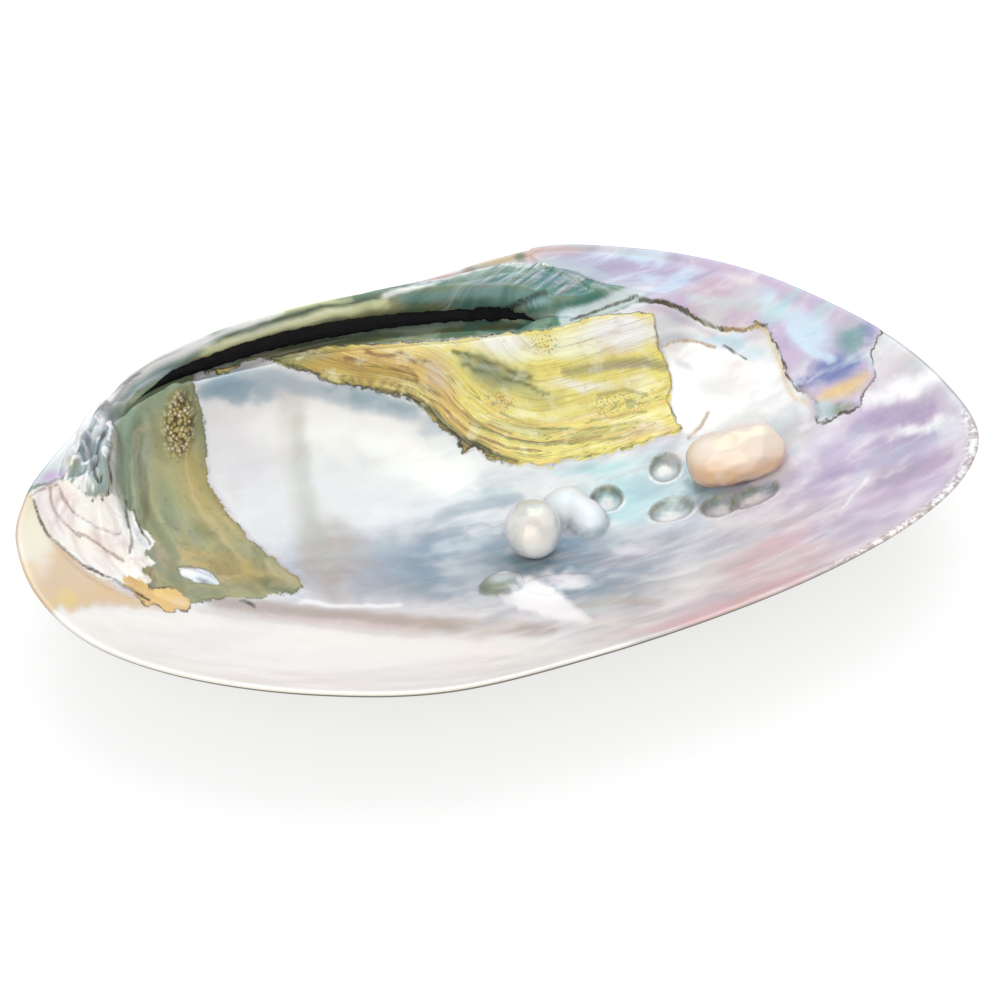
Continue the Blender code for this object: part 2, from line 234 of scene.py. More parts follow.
# Segments and rings of the valve's mesh, closer together where the small forms are
SEGMENTS = 460
INNER_RINGS = 166
OUTER_RINGS = 38
TURN_CROWDING = ((180, 20, 2.2), (42, 24, 2.0), (100, 40, 0.8), (5, 30, 0.8))
HINGE_CROWDING = 1.0
HINGE_BAND = (3.0, 7.0)
HINGE_TURNS = (36.0, 100.0)
SLOPE_CROWDING = 2.0
SLOPE_BAND = 1.1
SPOT_CROWDING = (
    (-74, 4, 13, 22, 0, 1.8), (28, 3, 26, 12, 0, 1.0), (2, -14, 14, 8, 0, 0.6), (28, 34, 26, 14, 15, 1.0),
)
STEPS_OF_A_RAY = 240
RING_SOFTNESS = 6
RING_PASSES = 2

# Areas of the inside with an edge of their own, as outlines in pixels of the photo
AREAS = {
    "near_wall": (
        (52, 613), (90, 606), (130, 607), (170, 611), (200, 610), (250, 616), (320, 624), (400, 633),
        (480, 639), (560, 643), (620, 640), (640, 660), (560, 700), (400, 740), (200, 730), (60, 670),
    ),
    "end": (
        (0, 500), (32, 492), (45, 515), (60, 541), (90, 571), (125, 593), (150, 603), (160, 608),
        (130, 606), (90, 606), (70, 612), (62, 604), (52, 613), (0, 600),
    ),
    "olive": (
        (190, 376), (196, 395), (204, 422), (205, 450), (209, 482), (226, 512), (252, 541), (281, 565),
        (303, 588), (270, 597), (225, 599), (190, 603), (162, 596), (140, 580), (110, 560), (100, 520),
        (96, 470), (104, 420), (128, 396), (165, 380),
    ),
    "flakes": (
        (120, 571), (140, 578), (152, 588), (170, 590), (190, 603), (189, 611), (178, 609), (170, 613),
        (156, 604), (148, 607), (136, 596), (124, 584),
    ),
    "lens": ((177, 571), (190, 569), (205, 572), (217, 580), (219, 587), (204, 586), (190, 582)),
    "scar": (
        (31, 492), (48, 484), (66, 482), (86, 496), (112, 497), (130, 512), (142, 530), (156, 545),
        (146, 556), (156, 566), (143, 572), (150, 584), (126, 576), (120, 586), (92, 572), (60, 543),
        (43, 518),
    ),
    # A white patch that paints the highlight on the slope below the joined pearls.
    "slope": (
        (517, 578), (530, 576), (546, 584), (560, 592), (572, 604), (590, 620), (575, 624), (550, 618),
        (530, 612), (512, 606), (500, 598), (512, 592), (522, 586),
    ),
    "stain": (
        (203, 372), (226, 374), (243, 361), (262, 358), (288, 368), (318, 378), (352, 388), (388, 394),
        (413, 401), (428, 414), (440, 427), (458, 440), (463, 455), (474, 448), (486, 458), (507, 464),
        (530, 466), (547, 468), (560, 462), (602, 456), (640, 445), (662, 438), (682, 432), (676, 420),
        (669, 402), (673, 386), (668, 366), (660, 350), (656, 330), (650, 314), (600, 316), (565, 326),
        (540, 331), (500, 335), (450, 341), (400, 344), (360, 346), (330, 348), (290, 355), (250, 362),
        (225, 369),
    ),
    "patch": (
        (664, 345), (690, 341), (715, 347), (742, 356), (760, 380), (750, 404), (730, 418), (703, 434),
        (682, 432), (676, 420), (669, 402), (673, 386), (668, 366),
    ),
    "wing": (
        (641, 300), (668, 304), (700, 321), (722, 330), (746, 330), (760, 324), (775, 343), (786, 372),
        (794, 388), (812, 400), (820, 424), (842, 414), (858, 409), (863, 395), (874, 378), (872, 352),
        (884, 320), (860, 280), (760, 230), (660, 220), (540, 220), (535, 262), (575, 280), (600, 292),
    ),
    "hinge": (
        (0, 500), (31, 491), (48, 484), (66, 482), (86, 496), (106, 490), (108, 460), (116, 430),
        (134, 402), (165, 384), (190, 376), (203, 371), (225, 368), (250, 361), (290, 354), (330, 347),
        (360, 345), (400, 343), (450, 340), (500, 334), (540, 330), (565, 325), (600, 315), (640, 301),
        (658, 290), (662, 280), (640, 240), (560, 200), (300, 240), (0, 320),
    ),
}

# How far out and how deep an area's distance is kept, in millimetres
FIELD_REACH = 6.0
FIELD_DEPTH = 26.0

# How each area ends, in the order that they lie on each other: softness, raggedness, strength of a dark edge
# The dark edge is partly the layer's broken edge and partly painted shade under its raised step.
AREA_EDGES = (
    ("near_wall", 2.2, 0.6, 0.0), ("end", 0.9, 0.8, 0.0), ("olive", 0.10, 1.2, 0.55),
    ("flakes", 0.15, 0.8, 0.8), ("lens", 0.15, 0.3, 0.5), ("slope", 0.8, 0.5, 0.0),
    ("patch", 0.8, 0.6, 0.0), ("stain", 0.12, 1.1, 0.8),
    ("wing", 0.12, 0.6, 0.9), ("scar", 0.25, 1.1, 0.0), ("hinge", 0.35, 0.3, 0.0),
)

# Creases and cracks: colour, half width and depth in millimetres, and the line in pixels of the photo
CREASES = (
    ("dark", 0.25, 0.35, ((33, 499), (45, 530), (60, 545), (80, 562), (110, 578), (150, 600))),
    ("rust", 0.25, 0.35, ((50, 490), (53, 506), (66, 526), (95, 545), (124, 563))),
    ("rust", 0.25, 0.30, ((60, 490), (70, 508), (98, 528), (120, 538))),
    ("rust", 0.30, 0.30, ((29, 497), (40, 490), (60, 484))),
    ("none", 0.35, 0.25, ((40, 500), (56, 532), (78, 550), (112, 570))),
    ("dark", 0.12, 0.30, ((126, 500), (127, 520), (132, 540), (130, 556))),
    ("dark", 0.12, 0.30, ((134, 512), (140, 530), (150, 546))),
    ("none", 0.35, 0.25, ((68, 488), (80, 502), (104, 520), (126, 530))),
    ("none", 0.90, 0.60, ((126, 408), (121, 440), (124, 480), (128, 515), (131, 545))),
    ("dark", 0.50, 0.60, ((84, 492), (95, 501), (106, 497), (111, 482), (109, 462), (112, 445))),
    ("dark", 0.45, 0.60, ((96, 462), (95, 474), (99, 484), (103, 478))),
    ("none", 1.50, 0.30, ((146, 410), (140, 450), (147, 495), (160, 540), (176, 566))),
    ("none", 1.40, 0.20, ((160, 470), (172, 510), (190, 540), (215, 565))),
    ("dark", 0.35, 0.45, ((498, 310), (514, 303), (530, 296), (546, 291))),
    # This dark line has no depth: it is the painted shadow under the blade's overhanging edge.
    ("dark", 0.30, 0.00, ((571, 320), (590, 313), (612, 305), (636, 297))),
    ("dark", 0.25, 0.30, ((640, 300), (668, 304), (700, 321), (722, 330))),
    ("rust", 0.35, 0.30, ((722, 330), (746, 330), (760, 324))),
    ("rust", 0.30, 0.20, ((662, 346), (680, 340), (698, 342), (715, 347))),
    ("dark", 0.35, 0.30, ((724, 345), (734, 352), (746, 359))),
    ("rust", 0.45, 0.40, ((688, 437), (697, 429), (704, 420), (708, 411))),
    ("dark", 0.25, 0.20, ((240, 601), (248, 602), (256, 606))),
    ("none", 0.80, 0.35, ((600, 480), (620, 470), (650, 462))),
)

# The lower edge of the stained layer, which its growth lines follow, in pixels of the photo
STAIN_FOOT = (
    (203, 372), (262, 358), (318, 378), (352, 388), (413, 401), (440, 427), (474, 452), (507, 464),
    (547, 468), (602, 456), (640, 445), (682, 432),
)

# Strokes of colour on an area: its name, the colour, half width in pixels, strength, and the line in pixels
STROKES = (
    ("hinge", "olive", 12, 0.80, ((200, 358), (250, 340), (310, 323), (360, 312), (400, 304))),
    ("hinge", "straw", 8, 0.95, ((205, 353), (250, 336), (310, 319), (350, 309), (384, 303))),
    ("hinge", "lemon", 3, 0.80, ((225, 343), (270, 328), (320, 314), (352, 307))),
    ("hinge", "bark", 2, 0.70, ((225, 337), (280, 318), (330, 305), (376, 297))),
    ("hinge", "straw", 5, 0.70, ((235, 326), (260, 317), (300, 306), (350, 297))),
    ("hinge", "taupe", 3, 0.60, ((240, 321), (290, 305), (350, 294))),
    ("hinge", "moss", 4, 0.70, ((230, 352), (290, 336), (350, 322), (400, 314), (450, 309))),
    # A painted highlight along the blade's top edge.
    ("hinge", "white", 5, 0.90, ((385, 295), (430, 282), (470, 270), (520, 263), (562, 266), (592, 276))),
    ("hinge", "teal", 6, 0.80, ((530, 312), (575, 302), (610, 290))),
    ("hinge", "sky", 7, 0.80, ((560, 316), (600, 303), (640, 290), (660, 283))),
    ("hinge", "white", 5, 1.00, ((574, 315), (610, 303), (640, 293), (662, 284))),
    ("hinge", "sea", 7, 0.55, ((400, 300), (450, 296), (500, 292))),
    ("hinge", "teal", 7, 0.90, ((330, 343), (400, 339), (450, 334), (500, 330), (540, 325), (565, 321))),
    ("hinge", "olive", 5, 0.80, ((250, 360), (300, 350), (360, 343), (430, 339))),
    ("hinge", "moss", 5, 0.80, ((230, 358), (300, 345), (360, 338), (430, 333), (520, 325))),
    ("hinge", "moss", 3, 0.80, ((300, 350), (360, 343), (420, 341), (480, 336))),
    ("hinge", "ink", 5, 0.80, ((500, 312), (520, 303), (544, 294))),
    ("hinge", "white", 12, 1.00, ((100, 400), (130, 378), (162, 358), (205, 340))),
    ("hinge", "white", 5, 0.80, ((205, 340), (240, 325), (280, 311))),
    ("hinge", "sea", 3, 0.60, ((118, 402), (140, 386), (170, 368), (205, 352))),
    ("hinge", "bark", 2, 0.60, ((92, 418), (112, 394), (140, 374))),
    ("olive", "sage", 12, 0.60, ((128, 410), (124, 450), (130, 500), (150, 550))),
    ("olive", "moss", 7, 0.50, ((140, 420), (138, 470), (152, 520), (176, 560))),
    ("floor", "taupe", 12, 0.85, ((215, 602), (300, 612), (390, 621), (470, 628), (550, 630))),
    ("floor", "taupe", 22, 0.30, ((290, 400), (294, 450), (302, 500), (318, 550), (336, 596))),
    ("floor", "lichen", 12, 0.30, ((298, 420), (302, 470), (312, 520), (330, 570))),
    # Painted shadows on the floor: under the pink pearl on this line, at the white pearl's lower left on the
    # next.
    ("floor", "sea", 6, 0.70, ((686, 484), (706, 494), (730, 498), (752, 494))),
    ("floor", "sea", 5, 0.60, ((498, 552), (512, 563), (530, 567), (548, 563))),
    # The next six lines pair a thin dark line with a thin pale one, painting the shade and light of small
    # dents that the surface doesn't have.
    ("floor", "slate", 3, 0.70, ((622, 543), (632, 542), (642, 545))),
    ("floor", "white", 5, 0.30, ((616, 550), (630, 552), (644, 550))),
    ("floor", "slate", 3, 0.60, ((470, 526), (480, 523), (492, 526))),
    ("floor", "milk", 5, 0.40, ((472, 531), (486, 531), (500, 530))),
    ("floor", "white", 4, 0.60, ((610, 577), (628, 575), (644, 576))),
    ("floor", "slate", 3, 0.50, ((612, 584), (630, 583), (648, 583))),
    ("floor", "pink", 4, 0.60, ((260, 615), (340, 622), (420, 630))),
    ("floor", "white", 3, 0.80, ((300, 601), (350, 606), (400, 606))),
    ("floor", "blush", 9, 0.80, ((600, 643), (660, 628), (730, 606), (800, 577))),
    ("floor", "blush", 5, 0.45, ((800, 577), (880, 541), (950, 494))),
    # A painted glint: a row of tiny white sparkles.
    ("floor", "white", 2, 0.90, ((846, 506), (852, 497), (858, 489), (868, 478))),
    ("floor", "lilac", 10, 0.60, ((850, 432), (890, 412), (930, 406))),
    ("floor", "white", 8, 0.70, ((786, 350), (800, 392), (806, 418))),
    ("floor", "cyan", 6, 0.80, ((715, 338), (740, 344), (762, 352))),
    ("floor", "mauve", 4, 0.50, ((648, 305), (680, 318), (712, 334))),
    ("floor", "cyan", 7, 0.60, ((556, 474), (610, 466), (660, 456))),
    ("floor", "steel", 8, 0.60, ((545, 560), (600, 575), (650, 572))),
    # Painted shade under the pink pearl.
    ("floor", "steel", 7, 0.70, ((690, 484), (730, 493), (775, 488))),
    ("floor", "taupe", 6, 0.55, ((580, 606), (620, 600), (660, 603))),
    ("floor", "amber", 3, 0.75, ((752, 325), (768, 334), (780, 364), (790, 392), (808, 404))),
    ("floor", "steel", 13, 0.55, ((205, 392), (238, 378), (262, 374), (300, 386), (350, 400), (412, 412))),
    ("floor", "slate", 9, 0.60, ((440, 515), (480, 506), (520, 500))),
    ("floor", "slate", 7, 0.50, ((500, 548), (560, 556), (640, 560))),
    ("floor", "silver", 8, 0.80, ((985, 448), (977, 474), (950, 497), (925, 517))),
    ("floor", "lilac", 12, 0.70, ((880, 480), (910, 470), (950, 455))),
    ("floor", "lilac", 14, 0.60, ((820, 530), (860, 520), (900, 500))),
    ("wing", "cyan", 7, 0.70, ((690, 300), (730, 306), (770, 312))),
    ("wing", "sky", 8, 0.80, ((790, 330), (810, 352), (830, 360))),
    ("wing", "violet", 8, 0.90, ((800, 384), (826, 380), (856, 362))),
    ("wing", "amber", 7, 0.55, ((816, 400), (842, 391), (866, 378))),
    ("wing", "ink", 3, 0.60, ((796, 386), (806, 392), (816, 404), (820, 420))),
    ("wing", "mauve", 10, 0.70, ((560, 250), (640, 256), (720, 268), (800, 292))),
    ("stain", "bark", 6, 1.00, ((408, 398), (430, 411), (444, 426), (464, 442))),
    ("stain", "rust", 2, 0.80, ((352, 382), (396, 388), (432, 402), (462, 428), (500, 446), (540, 452))),
    ("stain", "rust", 2, 0.70, ((400, 380), (436, 396), (468, 420), (506, 438), (550, 444), (600, 440))),
    ("stain", "bark", 9, 1.00, ((462, 444), (474, 446), (486, 453))),
    ("stain", "bark", 5, 0.90, ((484, 452), (500, 459), (516, 463))),
    ("stain", "bark", 3, 0.70, ((340, 383), (370, 389), (400, 394))),
    ("stain", "moss", 4, 0.80, ((246, 362), (262, 360), (290, 368), (318, 377))),
    ("stain", "rust", 4, 0.90, ((346, 362), (376, 364), (392, 371), (408, 374), (416, 382))),
    ("stain", "rust", 3, 0.90, ((366, 355), (384, 359), (400, 356), (414, 364), (426, 364))),
    ("stain", "moss", 4, 0.85, ((452, 354), (484, 362), (512, 372), (530, 380))),
    ("stain", "moss", 3, 0.75, ((462, 366), (490, 376), (520, 384), (548, 398))),
    ("stain", "lichen", 3, 0.60, ((458, 360), (488, 369), (520, 378))),
    ("stain", "olive", 8, 0.85, ((566, 374), (600, 368), (640, 364), (664, 368))),
    ("stain", "taupe", 4, 0.70, ((590, 372), (620, 369), (650, 367))),
    ("stain", "moss", 3, 0.60, ((600, 398), (622, 392), (646, 396))),
    ("stain", "moss", 2, 0.70, ((590, 424), (620, 418), (646, 414))),
    ("stain", "moss", 2, 0.70, ((470, 425), (510, 440), (560, 446), (620, 440))),
    ("stain", "moss", 2, 0.60, ((500, 415), (530, 428), (580, 432), (640, 424))),
    ("stain", "rust", 2, 0.60, ((430, 380), (450, 404), (480, 424), (510, 436))),
    ("stain", "ochre", 3, 0.60, ((430, 404), (460, 430), (500, 452), (540, 460))),
    ("near_wall", "taupe", 6, 0.35, ((200, 610), (300, 622), (400, 632), (480, 638))),
)


def length(name, description, default):
    """A length that the user may change."""
    return bpy.props.FloatProperty(name=name, description=description, default=default, min=0.0,
                                   unit="LENGTH", subtype="DISTANCE", precision=4)


def tint(name, description, default):
    """A colour that the user may change."""
    return bpy.props.FloatVectorProperty(name=name, description=description, default=default, size=3, min=0.0,
                                         max=1.0, subtype="COLOR")


class HalfShellSizes(bpy.types.PropertyGroup):
    """Heights and walls of the valve."""

    rim_height: length("Rim height", "Height of the valve's margin over the surface it lies on", 0.025)
    belly_wall: length("Belly wall", "Thickness of the wall at the bottom of the bowl", 0.0032)
    edge_wall: length("Edge wall", "Thickness of the wall at the margin", 0.0017)


class HalfShellColours(bpy.types.PropertyGroup):
    """Colours of the pearly inside, its stains and the skin outside."""

    # White also paints light: the crests of the teeth's folds, the crust's lumps, the blade's top edge,
    # sparkles, the slope's patch, the hollows' near edges, the grown-in pearl's glint and the brushed gleam;
    # its broad washes on the pearly areas are partly painted sheen.
    white: tint("White", "Brightest mother of pearl", (0.93, 0.91, 0.91))
    pearl: tint("Pearl", "Grown-in pearls", (0.80, 0.84, 0.88))
    milk: tint("Milk", "Quiet white of the bowl", (0.72, 0.69, 0.70))
    cream: tint("Cream", "Wall on the near side", (0.94, 0.91, 0.86))
    lilac: tint("Lilac", "Tail end", (0.40, 0.29, 0.45))
    mauve: tint("Mauve", "Soft purple of the tail end", (0.58, 0.46, 0.63))
    pink: tint("Pink", "Tail end towards the near side", (0.68, 0.48, 0.49))
    blush: tint("Blush", "Line along the near margin", (0.80, 0.45, 0.43))
    # Slate also paints shade: in the torn hollows, on the lens's lower right and in small painted dents.
    slate: tint("Slate", "Blue-grey bottom of the bowl", (0.28, 0.31, 0.37))
    # Steel also paints shade under the pink pearl, round the foot of the joined pearls and in the valleys of
    # the teeth's folds.
    steel: tint("Steel", "Blue-grey in the shade of a layer", (0.19, 0.29, 0.37))
    sky: tint("Sky", "Pale blue shimmer", (0.62, 0.76, 0.88))
    cyan: tint("Cyan", "Blue-green shimmer", (0.48, 0.68, 0.70))
    # Sea also paints the shadows on the floor under the pink pearl and beside the white pearl.
    sea: tint("Sea", "Blue-green of the long tooth", (0.17, 0.34, 0.34))
    teal: tint("Teal", "Dark blue-green of the long tooth", (0.05, 0.15, 0.12))
    sage: tint("Sage", "Grey-green of the hinge", (0.22, 0.27, 0.19))
    lichen: tint("Lichen", "Pale grey-green folds", (0.38, 0.42, 0.34))
    # Moss also paints shade: in the torn hollows, on the grown-in pearl's front end and in the valleys of the
    # teeth's folds.
    moss: tint("Moss", "Dark green streaks", (0.12, 0.13, 0.05))
    violet: tint("Violet", "Blue-violet of the wing", (0.17, 0.20, 0.44))
    olive: tint("Olive", "Olive layer", (0.38, 0.34, 0.17))
    ochre: tint("Ochre", "Ochre stains", (0.56, 0.37, 0.09))
    amber: tint("Amber", "Orange-brown flakes", (0.80, 0.54, 0.20))
    straw: tint("Straw", "Lit strip along the long tooth", (0.80, 0.82, 0.46))
    yellow: tint("Yellow", "Yellow stains", (0.86, 0.74, 0.22))
    lemon: tint("Lemon", "Palest stains", (0.93, 0.92, 0.66))
    peach: tint("Peach", "Stain at the front end", (0.74, 0.57, 0.38))
    silver: tint("Silver", "Front teeth", (0.52, 0.58, 0.60))
    taupe: tint("Taupe", "Brownish shadows", (0.45, 0.36, 0.31))
    rust: tint("Rust", "Stained cracks", (0.26, 0.12, 0.06))
    # Bark also paints shade: along the dark creases, along the raised layers' edges, in the pit of the front
    # teeth and in the crust's gaps.
    bark: tint("Bark", "Broken edges of the layers", (0.07, 0.045, 0.02))
    ink: tint("Ink", "Dried ligament", (0.004, 0.004, 0.005))
    skin: tint("Skin", "Horny skin on the outside", (0.060, 0.045, 0.022))
    skin_light: tint("Light skin", "Young bands of the skin", (0.16, 0.125, 0.05))


